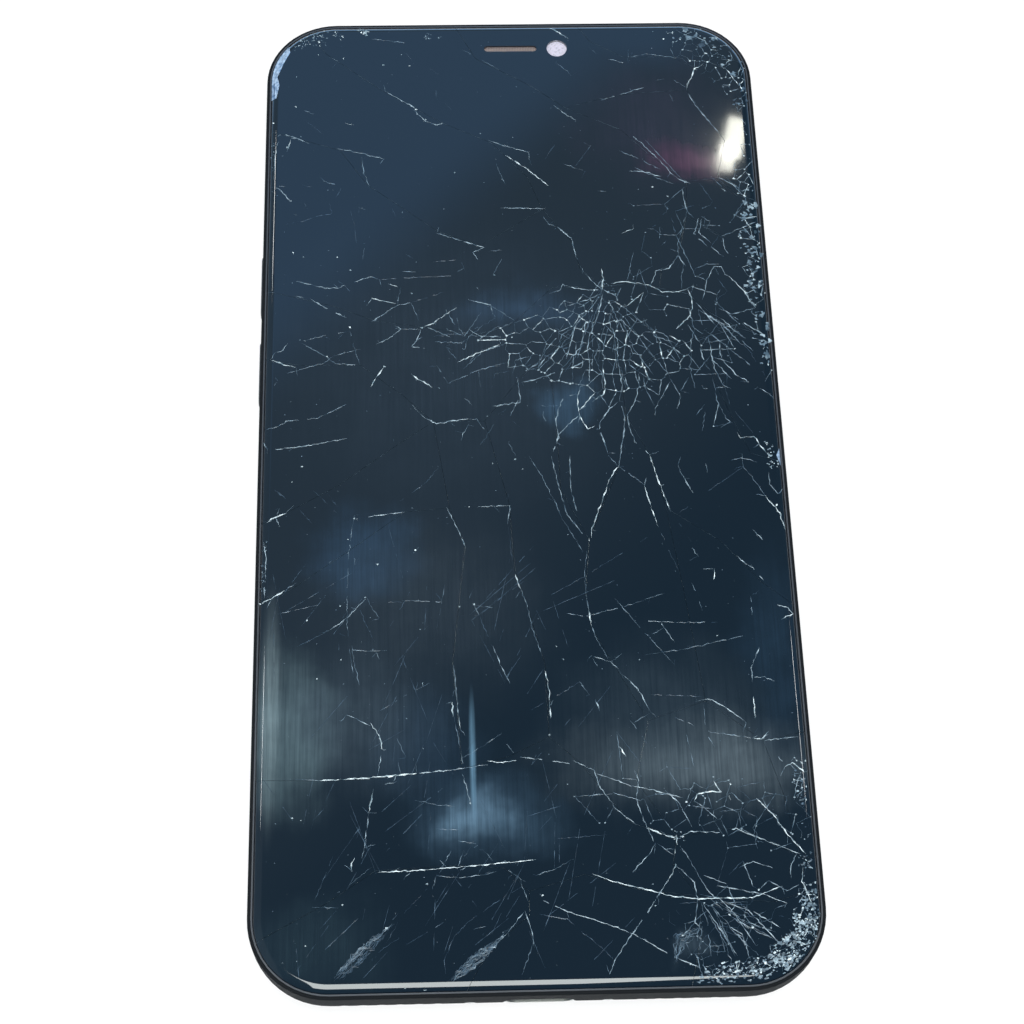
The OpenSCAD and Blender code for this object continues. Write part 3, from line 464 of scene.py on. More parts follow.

# %% [markdown]
# ## The glass's finish, and its painted reflections
#
# The cover is clear, but with the display switched off it lies on black, so it reads as dark navy gloss.
# One opaque glossy shader gives that look at a tenth of the cost of real refraction. What makes it a used
# phone is the film of grease: cloudy patches, wiped up and down, that scatter a little light and roughen
# the gloss. The patches' colours are painted reflections of lamps and windows blurred in the grease,
# lighter than the glass under them. Each patch is a soft ellipse at its own place. A slow noise bends all
# but the narrowest, and one stretched noise streaks them all.

# %% Greasy haze and painted reflections
GREASE_AND_PAINTED_REFLECTIONS = (        # middle x, y, half width, half length in mm, colour of the painted reflection, strength
    (-31, -39, 8, 12, "5e7278", 0.45), (-33.4, -36, 1.6, 17, "8c9ea4", 0.35),
    (-23, -38, 13, 11, "45515c", 0.35), (-6.5, -50.5, 11, 7, "465e74", 0.36),
    (-7, -50.8, 5, 4, "8cb0cc", 0.22), (-7.6, -42, 0.5, 9, "7ba6c4", 0.5), (-14, -41, 8, 9, "34485e", 0.2),
    (-21, -14, 9, 8, "34506e", 0.35), (20, -44, 21, 7.5, "66727a", 0.32),
    (26, -44.5, 10, 4.5, "76828a", 0.18), (17, -37, 16, 12, "404c56", 0.25), (1, 23, 12, 5, "3c5674", 0.3),
    (32, -30, 5, 18, "2c4258", 0.2), (18.5, -67, 3.2, 3, "4a5864", 0.3), (6, 8, 5, 4, "4a6c8c", 0.25),
    (25.5, 47.5, 8, 4.5, "74405e", 0.38), (21, 54, 14, 14, "2c2638", 0.35),
    (-12, -22, 18, 15, "363e46", 0.3), (-27, -66, 12, 7, "34464e", 0.2), (-10, 15, 30, 26, "2a3440", 0.3),
)


NARROW = 2           # mm, half the width of a patch that stays straight
GLASS_IOR = 1.5
print(len(GREASE_AND_PAINTED_REFLECTIONS), "patches of haze")


# %% Streaked glass
def streaked_glass_with_painted_reflections(name, tone):
    """Dark gloss under a film of grease that was wiped up and down, with painted reflections in its patches.
    """
    material, shader = new_material(name)
    place = add(material, "TexCoord").outputs["Object"]
    in_mm = add(material, "VectorMath", {0: place, 1: (1000, 1000, 1000)}, operation="MULTIPLY").outputs[0]
    wiped = add(material, "VectorMath", {0: in_mm, 1: (2.6, 0.07, 1)}, operation="MULTIPLY").outputs[0]
    swirl = add(material, "TexNoise", {"Vector": in_mm, "Scale": 0.16, "Detail": 3.0}).outputs["Color"]
    swirl = add(material, "VectorMath", {0: swirl, 1: (0.5, 0.5, 0.5)}, operation="SUBTRACT").outputs[0]
    swirl = add(material, "VectorMath", {0: swirl, 1: (9, 9, 0)}, operation="MULTIPLY").outputs[0]
    warped = add(material, "VectorMath", {0: in_mm, 1: swirl}, operation="ADD").outputs[0]
    streaks = add(material, "TexNoise", {"Vector": wiped, "Scale": 1.0, "Detail": 5.0, "Roughness": 0.65})
    cloud = add(material, "TexNoise", {"Vector": in_mm, "Scale": 0.12, "Detail": 4.0, "Roughness": 0.6})
    streak = add(material, "MapRange", {0: streaks.outputs["Fac"], 1: 0.3, 2: 0.72, 3: 0.5, 4: 1.3})
    patchy = add(material, "MapRange", {0: cloud.outputs["Fac"], 1: 0.3, 2: 0.7, 3: 0.6, 4: 1.2})
    film = add(material, "Math", {0: streak.outputs[0], 1: patchy.outputs[0]}, operation="MULTIPLY")
    film = film.outputs[0]
    colour = linear(tone)
    total = 0.0
    # Each patch mixes a painted reflection into the glass's colour, thinned where the grease streaks are
    # thin.
    for x, y, half_x, half_y, shade, strength in GREASE_AND_PAINTED_REFLECTIONS:
        source = in_mm if half_x < NARROW else warped
        away = add(material, "VectorMath", {0: source, 1: (x, y, 0)}, operation="SUBTRACT").outputs[0]
        flat = add(material, "VectorMath", {0: away, 1: (1 / half_x, 1 / half_y, 0)}, operation="MULTIPLY")
        far = add(material, "VectorMath", {0: flat.outputs[0]}, operation="LENGTH").outputs["Value"]
        soft = add(material, "MapRange", {0: far, 1: 0.0, 2: 1.15, 3: strength, 4: 0.0},
                   interpolation_type="SMOOTHSTEP")
        amount = add(material, "Math", {0: soft.outputs[0], 1: film}, operation="MULTIPLY", use_clamp=True)
        mixed = add(material, "Mix", {0: amount.outputs[0], 6: colour, 7: linear(shade)}, data_type="RGBA")
        colour = mixed.outputs[2]
        total = add(material, "Math", {0: amount.outputs[0], 1: total}, operation="MAXIMUM").outputs[0]
    rough = add(material, "MapRange", {0: total, 3: 0.03, 4: 0.16}).outputs[0]
    connect(material, shader, {"Base Color": colour, "Roughness": rough, "IOR": GLASS_IOR})
    return material


dark_glass = streaked_glass_with_painted_reflections("strengthened_glass_over_black_painted_reflections", "0b131c")
print("the streaked glass has", len(dark_glass.node_tree.nodes), "nodes")


# %% [markdown]
# ## The look of broken glass, with painted glint
#
# Where glass breaks it shows bare, rough faces under the surface that throw light back white. How bright
# one is depends on how it is turned, so a crack is bright for a stretch, then dull, then lost. That
# brightness is painted glint: four strengths of the same pale colour cover the cracks, and a noise of
# about a millimetre, also painted glint, makes each line come and go.


# %% Fracture colours with painted glint
def fracture_with_painted_glint(name, bright, dull, grain, low, high):
    """Bare broken glass whose painted glint turns from dull to bright and back over about that many
    millimetres.
    """
    material, shader = new_material(name)
    place = add(material, "TexCoord").outputs["Object"]
    flicker = add(material, "TexNoise", {"Vector": place, "Scale": 1 / (grain * MM), "Detail": 3.0})
    share = add(material, "MapRange", {0: flicker.outputs["Fac"], 1: low, 2: high})
    shade = add(material, "Mix", {0: share.outputs[0], 6: linear(dull), 7: linear(bright)}, data_type="RGBA")
    connect(material, shader, {"Base Color": shade.outputs[2], "Roughness": 0.3, "IOR": GLASS_IOR})
    return material


PAINTED_GLINT_FRACTURES = [
    fracture_with_painted_glint("broken_glass_faint_painted_glint", "44586a", "1a2632", 1.6, 0.42, 0.66),
    fracture_with_painted_glint("broken_glass_dull_painted_glint", "6c8090", "283844", 1.3, 0.4, 0.66),
    fracture_with_painted_glint("broken_glass_pale_painted_glint", "a0b2be", "3c4e5c", 1.0, 0.4, 0.68),
    fracture_with_painted_glint("broken_glass_bright_painted_glint", "e2eef4", "60747f", 0.8, 0.4, 0.68),
]
# The chips' shells get the same painted glint, bluer and on a finer noise.
ground_glass = fracture_with_painted_glint("chipped_glass_shells_painted_glint", "a0b4cc", "5a7494", 0.5, 0.35, 0.62)
print(len(PAINTED_GLINT_FRACTURES), "strengths of broken glass, and one for the chips")

# %% The cover glass
# The shards' crack walls take the dull painted glint.
cover = make_piece("cracked_cover_glass", all_points, all_faces, [dark_glass, ground_glass, PAINTED_GLINT_FRACTURES[1]],
                   all_kinds, smooth_angle=10)
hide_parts("cover_glass")
surface = BVHTree.FromPolygons([Vector(p) for p in all_points], all_faces)


def on_glass(x, y):
    """The height of the finished glass at a point, found by dropping a ray on it."""
    hit = surface.ray_cast(Vector((x, y, 20)), Vector((0, 0, -1)))[0]
    usual = broken_height(x, y) - SHARD_SINK
    return usual if hit is None or hit.z < usual - 0.1 else hit.z     # a ray can fall into a crack


# %% [markdown]
# ## The cracks as they catch the light
#
# Each bright line is a thin ridge of three facets laid along the crack: it wanders a little, swells and
# thins, breaks off where the crack turns out of the light, and ends in a point. The paths are listed by
# the part of the screen that they cross, and the number before each is the strength of its painted glint,
# from 0, faint, to 3, white.

# %% Cracks round the first hit
BY_FIRST_HIT = (
    (2, (6, 36.5), (8, 34.5), (8.5, 31.5), (9, 30), (9.5, 29), (11, 27), (12, 26)),
    (3, (12, 26), (12.2, 28), (12, 29.5)),
    (2, (12, 26), (10, 26), (7.5, 26.5), (6.5, 27), (6, 26), (4.5, 25.5)),
    (2, (12, 25.5), (10, 24.5), (8.5, 24), (7, 23.5)),
    (2, (12.2, 26), (13.8, 25), (14.2, 24), (15.2, 23.5)),
    (3, (13.3, 27), (14.7, 27.3), (17.5, 27), (19, 26.5), (20.5, 25.5), (22.5, 25.5), (24, 26)),
    (3, (24, 26), (24.5, 24.5), (24.5, 23), (24, 21.5), (22, 19.5)),
    (2, (18.8, 26.6), (19.3, 27.7), (19.8, 29), (21.6, 29.4), (23, 31.4), (24, 29.7)),
    (1, (23, 31.4), (23.1, 33.4), (24, 36.5)), (1, (23.7, 30), (23.3, 28), (23.2, 26)),
    (1, (20.7, 36.3), (20.6, 35), (20.2, 33.3)), (3, (15.2, 35.3), (16.9, 36)),
    (1, (16.4, 30), (15.5, 27.5)), (2, (14.7, 26.3), (14, 24.7)),
    (2, (25.3, 22.6), (27, 21.3), (29.2, 20), (30.6, 18.7), (31.6, 17.9)),
    (1, (25.3, 22.6), (25.5, 21), (26, 19.3), (25.6, 18.7), (24.2, 20)),
    (1, (26, 19.3), (28, 17.5), (32, 13.6)), (1, (26, 17.3), (28, 17.5), (30.6, 18.4)),
    (2, (28, 17.5), (27.8, 15.6), (28.5, 14), (30, 12), (32.8, 10.2), (34.9, 8.5)),
    (2, (26, 24.2), (26.3, 25), (26.8, 27.3), (28, 29.6), (29, 29.6), (29.5, 28.2)),
    (2, (25.5, 28), (26.8, 27.3)), (1, (25.5, 29.4), (27, 30), (28.7, 30)),
    (3, (30, 28), (31.6, 26), (32.5, 24.4), (33.4, 22.8)), (2, (33.4, 22.8), (30, 21.8), (28.2, 22.8)),
    (2, (30, 21.5), (32, 20), (34.2, 18.5)), (2, (29.4, 34.6), (31.6, 35.6), (34.5, 37)),
    (2, (29.6, 34.4), (29.7, 32.5), (30.6, 31)), (0, (26, 37), (29.4, 34.4)),
)
print(len(BY_FIRST_HIT), "stretches round the first hit")

# %% Cracks in the net
NET_STRANDS = (
    (2, (20.7, 11.2), (19.7, 9.5), (18.5, 7.3), (18.3, 6)), (2, (21, 11), (22, 8.8), (21.4, 7)),
    (1, (23.3, 11.8), (22, 9.7)), (2, (16.4, 12.5), (16.4, 11), (15.7, 8.3), (14.5, 6.1)),
    (1, (17, 12.5), (17.2, 10.2), (18.3, 7.5)),
    (2, (13.6, 15), (13.8, 13), (14, 10.6), (13.6, 8.3), (12, 7), (10.7, 5), (10.6, 4), (11.6, 0.3)),
    (2, (13.6, 8.3), (14.1, 6.1), (14, 4), (13, -1.5)), (2, (14.5, 6.1), (14.7, 4), (15.4, 2), (17.3, 0)),
    (3, (11.5, 13.6), (11.7, 11), (11.5, 9.5), (10.2, 8.6)),
    (2, (9.7, 14.2), (9.5, 11.5), (8.3, 10.6), (7.8, 9)),
    (2, (9, 14.6), (7, 13.5), (5.5, 13.3), (3.6, 12.3), (0.2, 11.4)),
    (3, (7.8, 9.5), (7.8, 7.6), (8, 6), (9, 4), (10, 4.5)), (1, (8, 7), (11, 9)),
    (2, (8, 6.2), (7, 5.4), (5, 3.3), (4.2, 0.7)),
    (2, (7.6, 9.5), (5.7, 8.8), (5.1, 7), (4.7, 5.4), (5, 2.8), (4.6, 2)), (1, (5.1, 7.7), (2.3, 7.7)),
    (1, (3, 8), (3, 6), (3.4, 5.3)), (2, (3.7, 15.4), (2.6, 13.7)),
    (2, (6, 19.4), (4, 16.8), (2.4, 14.2), (0.5, 13)),
    (2, (11.6, 25), (10.2, 23), (8, 20.4), (7, 16.8), (6.5, 15)),
    (2, (12, 25.4), (11.2, 21.8), (10, 19), (9.5, 16.8), (9.7, 14.2)),
    (1, (13.2, 23.5), (12.8, 21), (12, 18), (11.5, 15.5)), (1, (14.5, 22), (13.5, 19), (13, 16)),
    (1, (16.8, 21.5), (15.2, 18.5), (14.5, 16), (14.2, 13)), (2, (25.2, 16.4), (25.6, 14)),
    (2, (26.6, 15.6), (27, 13), (28, 10.5), (29, 10)), (2, (25.2, 10), (28.2, 10.2)),
    (1, (26.6, 11.6), (27, 8), (28, 5.4), (28.5, 4.8), (27.2, 4)),
    (0, (28.2, 10.4), (28.7, 7.3), (31.6, 3)), (1, (24.4, 12.3), (25.2, 10)), (1, (25.2, 7.6), (24, 6)),
    (1, (25.2, 6.4), (24.6, 3.5)), (3, (29.4, 3.2), (29.7, 2.3), (31.6, 2.6), (32.3, 1.4), (33.2, 0)),
)
print(len(NET_STRANDS), "stretches in the net")

# %% Cracks at the upper right
UPPER_RIGHT = (
    (3, (6.2, 71.5), (7.8, 70.4), (8.9, 69.5)), (1, (6.9, 65), (8.3, 63.8), (9.1, 62.7)),
    (1, (12, 67.8), (13, 66.6)), (0, (17.8, 67.8), (17.6, 65)),
    (1, (18, 66), (20.4, 66.6), (21.8, 66.3), (25.6, 65.7), (26.3, 64.9)), (1, (14.7, 65.7), (17, 65)),
    (3, (28.7, 64.5), (27.4, 63.8), (27, 62.6), (26.1, 60.7), (26, 60)), (1, (26, 60.4), (24.2, 61.8)),
    (1, (21.5, 61.7), (22.8, 62)), (2, (13.3, 58.3), (15.9, 59.2), (19.7, 60.5)),
    (2, (26.2, 59.3), (26.9, 57.6), (28.5, 55), (29.3, 53.8), (30.3, 52.3)),
    (1, (23.4, 59.3), (23.9, 57.9)), (2, (6.3, 57.5), (7.8, 56), (9.5, 54.8)),
    (2, (17.1, 52.4), (18.8, 50.7), (20.9, 48.1), (21.5, 47.4), (22.8, 45.5), (24, 44.3), (25.5, 43.6)),
    (1, (17.6, 46.5), (20.4, 44.8), (23, 43.6)), (0, (8.3, 51.9), (11.4, 50.3), (9.1, 46.9)),
    (0, (6.2, 50.6), (4.7, 48.1)), (1, (7.4, 47.2), (10.4, 45.9)),
    (2, (-3.5, 51.5), (-1.4, 50.5), (2.4, 49.3), (2.4, 48.1)), (3, (-1, 48.8), (1.9, 46.5), (5, 43.5)),
    (2, (-2, 39.8), (4.5, 39.6)), (1, (3.3, 39.6), (4.8, 37), (6, 36.5)), (1, (12, 42.5), (13.3, 42.4)),
    (2, (24.3, 42.7), (24.4, 40.8), (24.8, 38.9), (24.1, 37)), (1, (24.8, 38.9), (25.6, 37.7)),
    (2, (29.7, 44.6), (31.6, 43.4), (33.2, 41.2), (33.7, 38.6)), (3, (29.9, 42.7), (30.6, 42.2)),
    (2, (28, 69.7), (29.2, 68.9), (29.9, 67.7)), (2, (32.8, 66.9), (33.2, 65.7), (32, 64.5)),
    (3, (32, 63.8), (33.7, 60.9)),
)
print(len(UPPER_RIGHT), "stretches at the upper right")

# %% Cracks at the upper left
UPPER_LEFT = (
    (2, (-34, 52.4), (-33.4, 53), (-31.8, 52.4), (-29.4, 51.2)),
    (3, (-32, 52.2), (-32.3, 51), (-32.6, 49.8)), (2, (-33.8, 52.4), (-34.2, 50), (-34.4, 45.5)),
    (2, (-34.2, 43.8), (-33.2, 43), (-32, 41.3)), (2, (-25.4, 50.3), (-23, 49.7), (-18.5, 48.4)),
    (1, (-21.8, 48.8), (-21.5, 46), (-20.6, 43.4)), (3, (-24.2, 54.7), (-23, 54.4)),
    (0, (-22, 62.5), (-18.3, 60.2)),
    (2, (-18.3, 60.2), (-16, 58.6), (-14.2, 57.4), (-13.7, 56.2), (-12.6, 55), (-11, 54.2), (-9.9, 54.5)),
    (1, (-11.8, 64.2), (-10.6, 63.3)), (1, (-6.9, 67.6), (-4.5, 66), (-1.4, 63.8)),
    (0, (-7.2, 62.6), (-7.2, 58.5)), (1, (-27.8, 45.4), (-26.8, 44.4), (-24.8, 44), (-24.8, 43.2)),
    (0, (-26.8, 42.5), (-26, 39.2), (-27.8, 38.8)), (0, (-23.4, 39.6), (-22.8, 37), (-22.5, 34.2)),
    (1, (-22.2, 40.2), (-21.3, 39.8)), (1, (-17, 38.6), (-15.8, 38.3)),
    (0, (-27.4, 39), (-30, 38), (-32.5, 37.5)), (1, (-33.9, 43.9), (-32.6, 43.8)),
    (1, (-29.6, 43.8), (-29, 43.7)), (1, (-30.2, 57), (-28.8, 56.4)), (0, (-29.8, 55), (-27.4, 52.8)),
    (1, (-26.5, 66.4), (-25.4, 65.8)), (1, (-20.4, 69.8), (-17, 69.2), (-15, 69)),
    (0, (-11, 60.4), (-10.8, 58.6)), (0, (-9.6, 58), (-8.7, 56.8)), (0, (-15.5, 67.3), (-14.4, 65.8)),
    (1, (-30, 41), (-29.5, 40.2)), (1, (-31.5, 39.2), (-31, 39)),
)
print(len(UPPER_LEFT), "stretches at the upper left")

# %% Cracks at the middle left
MIDDLE_LEFT = (
    (1, (-20.6, 35.3), (-21.3, 34.2), (-21.6, 31.5)), (1, (-15, 33.2), (-14.5, 31.5)),
    (2, (-11.2, 35.7), (-8.5, 34.7), (-4.5, 33.2), (-6.1, 32.4), (-5.1, 30.8)),
    (1, (-5.9, 30.7), (-8.3, 29.3)), (1, (-3.7, 32.6), (-2, 32.7)), (0, (-11.8, 30.9), (-8.3, 31.2)),
    (2, (-30.9, 28), (-29.2, 27.5), (-26.8, 26.8), (-25.1, 26.8), (-24.2, 27.3), (-23.4, 26.2)),
    (2, (-22.8, 27.7), (-21.6, 28.3), (-20.4, 28.6), (-19.3, 28.1)),
    (0, (-19.3, 28.1), (-16.4, 28.3), (-9.2, 28.6)), (3, (-18, 27.4), (-16.7, 26.9)),
    (1, (-16.1, 29.4), (-14.2, 29.3)), (2, (-28.9, 25.1), (-26.8, 23.6), (-23.9, 22)),
    (2, (-30.9, 25.6), (-29.9, 25.3)), (3, (-20.4, 25.1), (-19.4, 24.8), (-17, 24.2)),
    (1, (-16.3, 26.8), (-16.8, 24.2)),
    (2, (-20.4, 21.3), (-19.4, 22), (-18.2, 23), (-16.8, 23.9), (-14.9, 24.3)),
    (0, (-14.9, 24.3), (-11.8, 25.4), (-10.4, 26)), (1, (-14.9, 24.2), (-14.3, 22.8), (-13.6, 20.6)),
    (3, (-13.4, 20.3), (-11.8, 21), (-9.9, 22.5), (-8.5, 23.4)),
    (2, (-12.6, 20.3), (-10.9, 19.4), (-9.5, 18.7)),
    (2, (-13.5, 20), (-14.2, 18.2), (-14.8, 17.3), (-13, 16.9)),
    (2, (-17.3, 20.7), (-16.3, 20.1), (-18, 18.6), (-19.7, 17.8)), (1, (-16.3, 20.1), (-13.7, 20)),
    (1, (-9.7, 22.5), (-8.8, 20.6)), (1, (-8.5, 21.8), (-8.2, 19.9), (-7.3, 18.7)),
    (2, (-6.9, 24.7), (-3.8, 23.8), (-3.5, 22.3)), (1, (-3.8, 23.7), (-0.2, 21)),
    (2, (-6.9, 19.9), (-5.4, 18.8), (-1.9, 18.6), (-0.7, 18.5)),
    (3, (-8.5, 14.7), (-5.7, 16.1), (-3.8, 16.9), (-2.6, 17.4)), (1, (-10.2, 17.2), (-8.5, 14.9)),
    (1, (-10.1, 17.3), (-7.3, 18)), (3, (-18.6, 14.2), (-19.9, 12.3), (-20.5, 11)),
    (3, (-14.9, 13), (-14.5, 12.4), (-12.8, 11.4), (-12, 10.7)),
    (1, (-11.4, 14.2), (-9.9, 11.4), (-5.7, 13.4), (-1.9, 14.5)), (1, (-5.7, 13.3), (-5.4, 10.5)),
    (2, (-14.9, 8.2), (-14, 7), (-13, 6), (-11.6, 5.2), (-8, 5.8), (-6.1, 5.8), (-5.1, 4.2)),
    (2, (-7.2, 5), (-7.9, 3.8), (-8.3, 2.6)), (1, (-3.8, 5), (-5, 2.8), (-5.7, 1.9)),
    (2, (-7.7, 9), (-6.6, 8)), (1, (-2.1, 7.3), (-3.1, 6.5)), (1, (-2.8, 6.6), (-1.2, 5.4)),
    (1, (-0.7, 3.8), (-1.9, 2.1), (-0.9, 0.2)),
    (1, (-35, 4.7), (-33.2, 5), (-32, 5.9), (-27.7, 6.3), (-23.4, 8.6)),
    (2, (-35.2, 4.6), (-35, 3), (-34.4, 1.6)), (2, (-33.4, 1.6), (-28.5, 2.2), (-23.7, 3.2)),
    (3, (-34.3, 15.5), (-32.5, 14.7), (-30.8, 14.2)),
    (2, (-34.2, 15.6), (-33.7, 16.6), (-32.8, 16.8), (-32, 18)),
    (1, (-32, 13.3), (-29.2, 14.2), (-27, 14.8), (-25.6, 16), (-22, 17)),
    (1, (-31.4, 17.9), (-27, 19.2), (-24.2, 19.7)),
    (1, (-30, 18), (-26.6, 15.8), (-25.4, 14.7), (-21.8, 14.5)),
    (1, (-23.4, 19.9), (-22.6, 16.4), (-22, 14.5)), (2, (-33.7, 11.4), (-33.2, 12.2)),
)
print(len(MIDDLE_LEFT), "stretches at the middle left")

# %% Cracks at the lower right
LOWER_RIGHT = (
    (1, (0.9, 0), (2.4, -2.8), (4, -6.6), (5.1, -9.5), (6.9, -12.9), (7.6, -14.2)),
    (2, (3.9, 0), (4.7, -4.5), (5.7, -8.8), (8.1, -12.3)), (2, (6.4, 0), (6.3, -4.7), (7, -8.3)),
    (3, (8.8, -12.2), (8.9, -11), (10.2, -7.6), (11.4, -4.3), (12.3, -2.4), (12.9, -1.7)),
    (1, (12.9, -1.7), (11.6, 0)), (1, (12.9, -1.7), (16.3, -4.5)),
    (3, (16.3, -4.7), (17, -8), (17.8, -10.7)), (0, (17.8, -10.7), (18.5, -12.8), (20.2, -17.3)),
    (3, (17.2, 0), (18.4, -4.7), (19.5, -8.3)), (0, (19.5, -8.3), (22.1, -13)),
    (2, (21, -1.7), (21.7, -3.6), (22.8, -5.9)), (2, (22.1, -14), (22.9, -15.2)),
    (2, (24.8, -1.4), (24.9, -2.8)), (3, (24.9, -17), (24.7, -18.6)),
    (1, (8.1, -14.2), (7.7, -17), (7.7, -20.2), (8, -22.5)), (3, (8, -22.5), (8.2, -24.7)),
    (1, (8.2, -24.7), (8.8, -26.6), (10.2, -29.4)),
    (1, (5.1, -23), (7.4, -23.5), (12.3, -22.3), (18, -20.4)),
    (0, (3.1, -20.4), (8, -17.6), (17.6, -11.4), (23.7, -6.4), (29.9, -2)),
    (1, (11.5, -21), (14, -24.4), (18.8, -30.5)), (1, (13.8, -24.2), (20.4, -24.6), (24.8, -24.6)),
    (2, (16.6, -23.7), (17.7, -25.2), (19, -27.3)), (1, (16, -26.2), (17.7, -25.3)),
    (1, (15, -29), (20, -28.4), (28, -26.6)),
    (2, (8, -29), (10.7, -30), (11.9, -31.6), (13.3, -33), (14, -34), (15.2, -36.6)),
    (1, (8.2, -29.3), (8.8, -30.5)), (1, (10.7, -29.9), (12, -28.8)),
    (1, (21.7, -19), (22.3, -20.4), (22.9, -23)), (2, (28, -15.2), (28.7, -16), (30, -17), (31.3, -18.8)),
    (2, (30.4, -11.4), (31.7, -13)), (1, (29.4, -21), (29.4, -23.7)),
    (3, (32.8, -22.3), (34.2, -22.8), (34.8, -23.5), (33.2, -24.4)),
    (2, (30, -28.2), (28.8, -30.9), (28.7, -33)), (3, (28.7, -35), (28.7, -38)),
    (2, (29, -32.4), (30.4, -32.4), (31.6, -33)), (0, (15.2, -34.5), (22, -34.9)),
    (2, (21.2, -35.6), (22.8, -35.2), (24.9, -36.3), (27.5, -38.5)), (2, (8.3, -35), (8.8, -36.6)),
    (1, (6.3, -32.5), (7.6, -34.4)), (0, (0, -36.3), (2.4, -35), (6.6, -32.5)),
    (3, (32.5, -6.4), (33.2, -7.6), (34.2, -9), (34.8, -11.4)),
    (2, (33.2, -3), (33.2, -4.7), (34.2, -6.2), (35, -5.2)),
    (1, (29.8, 0), (29.8, -2), (30.9, -3.6), (32.5, -6.4)), (1, (28.2, -1), (29.8, -0.7), (31.8, -1.4)),
)
print(len(LOWER_RIGHT), "stretches at the lower right")

# %% Cracks at the lower left
LOWER_LEFT = (
    (3, (-34.9, -20.9), (-33.4, -20.2), (-31.8, -19.1)), (1, (-31.8, -19.1), (-30.2, -18)),
    (0, (-30.2, -18), (-26.4, -15.6), (-25.4, -14.7)),
    (3, (-34.9, -9.9), (-34.6, -9.3), (-33.2, -8.5), (-31.8, -7.9)), (2, (-33, -8.4), (-32.7, -7.2)),
    (2, (-34.7, -12), (-34.3, -14), (-34.4, -20)), (2, (-22.8, -9), (-20, -8.5), (-16, -8)),
    (1, (-22.7, -8.4), (-23.2, -11.8), (-23.5, -15)),
    (1, (-23.5, -16), (-23.6, -20), (-23.6, -24), (-23.2, -28), (-22.7, -31.5)),
    (1, (-23, -27), (-22.5, -30), (-22, -32.5)), (2, (-26, -24.9), (-23.7, -23.2), (-21.2, -20.5)),
    (0, (-26, -24.9), (-30, -27)), (1, (-21, -20.4), (-20.4, -21.8), (-19.4, -23.2)),
    (0, (-22, -21.8), (-21.4, -23.5), (-20, -26.5)), (2, (-19.8, -28), (-19.4, -29)),
    (0, (-20.4, -21), (-16.5, -21)), (1, (-16.4, -20.8), (-11.2, -21.1)),
    (1, (-10.8, -18.6), (-11.3, -21.4)), (0, (-11.4, -22), (-11.9, -24.7)),
    (1, (-23, -27.6), (-21, -27.8), (-18.4, -27.8)), (2, (-10.4, -7.4), (-8.9, -10.8), (-7.9, -13.4)),
    (2, (-6.2, -7.4), (-1.9, -7.3), (-2.1, -8.6), (-2.3, -10)), (1, (-8, -7.4), (-7, -7.4)),
    (0, (-2.2, -10.5), (-1.8, -15.7)), (3, (-1.5, -17.3), (-1.2, -18.5), (-0.8, -19.5)),
    (2, (-0.8, -19.6), (-0.2, -21.4)), (1, (-0.2, -21), (0.5, -25), (1.7, -29)),
    (3, (2, -31), (2.4, -34), (2.5, -37.5)), (1, (-7.2, -19.6), (-7.6, -20.6)),
    (2, (-7.2, -21.4), (-6.4, -23)), (1, (-7, -21.7), (-4.6, -22)), (0, (-8.6, -23.1), (-6.4, -23.1)),
    (0, (-6.4, -23), (-4.8, -27.4)), (2, (-4.7, -27.4), (-3.7, -30.2), (-2.6, -32.6)),
    (2, (-9.8, -30), (-9.6, -33), (-9.3, -37)), (3, (-9.2, -37), (-9.1, -38.7)),
    (1, (-9.9, -37), (-9.2, -41)), (2, (-9, -42), (-8.9, -45), (-8.4, -46.8), (-7.9, -48.8)),
    (3, (-10.1, -35), (-10, -37)), (0, (-19.6, -36.2), (-16.4, -34.2)), (1, (-16.4, -34.2), (-13, -32.4)),
    (2, (-14.1, -31), (-13.8, -32.8)), (1, (-14.7, -14), (-14.2, -13.2)),
    (1, (-22.7, -14.6), (-22.6, -15.6)), (0, (-33.6, -4.2), (-30, -7.4)), (1, (-32.8, -4.8), (-32.4, -5.2)),
    (0, (-30, -7.4), (-28.4, -9.4)), (0, (-28.2, -4.6), (-25, -8)),
    (0, (-16.6, -6.4), (-13, -3.6), (-11.2, -1.2)), (0, (-15.4, -19.6), (-18, -24.4)),
    (1, (-2.1, -5.6), (-2, -6)), (0, (-26.4, -5), (-25, -7)),
)
print(len(LOWER_LEFT), "stretches at the lower left")

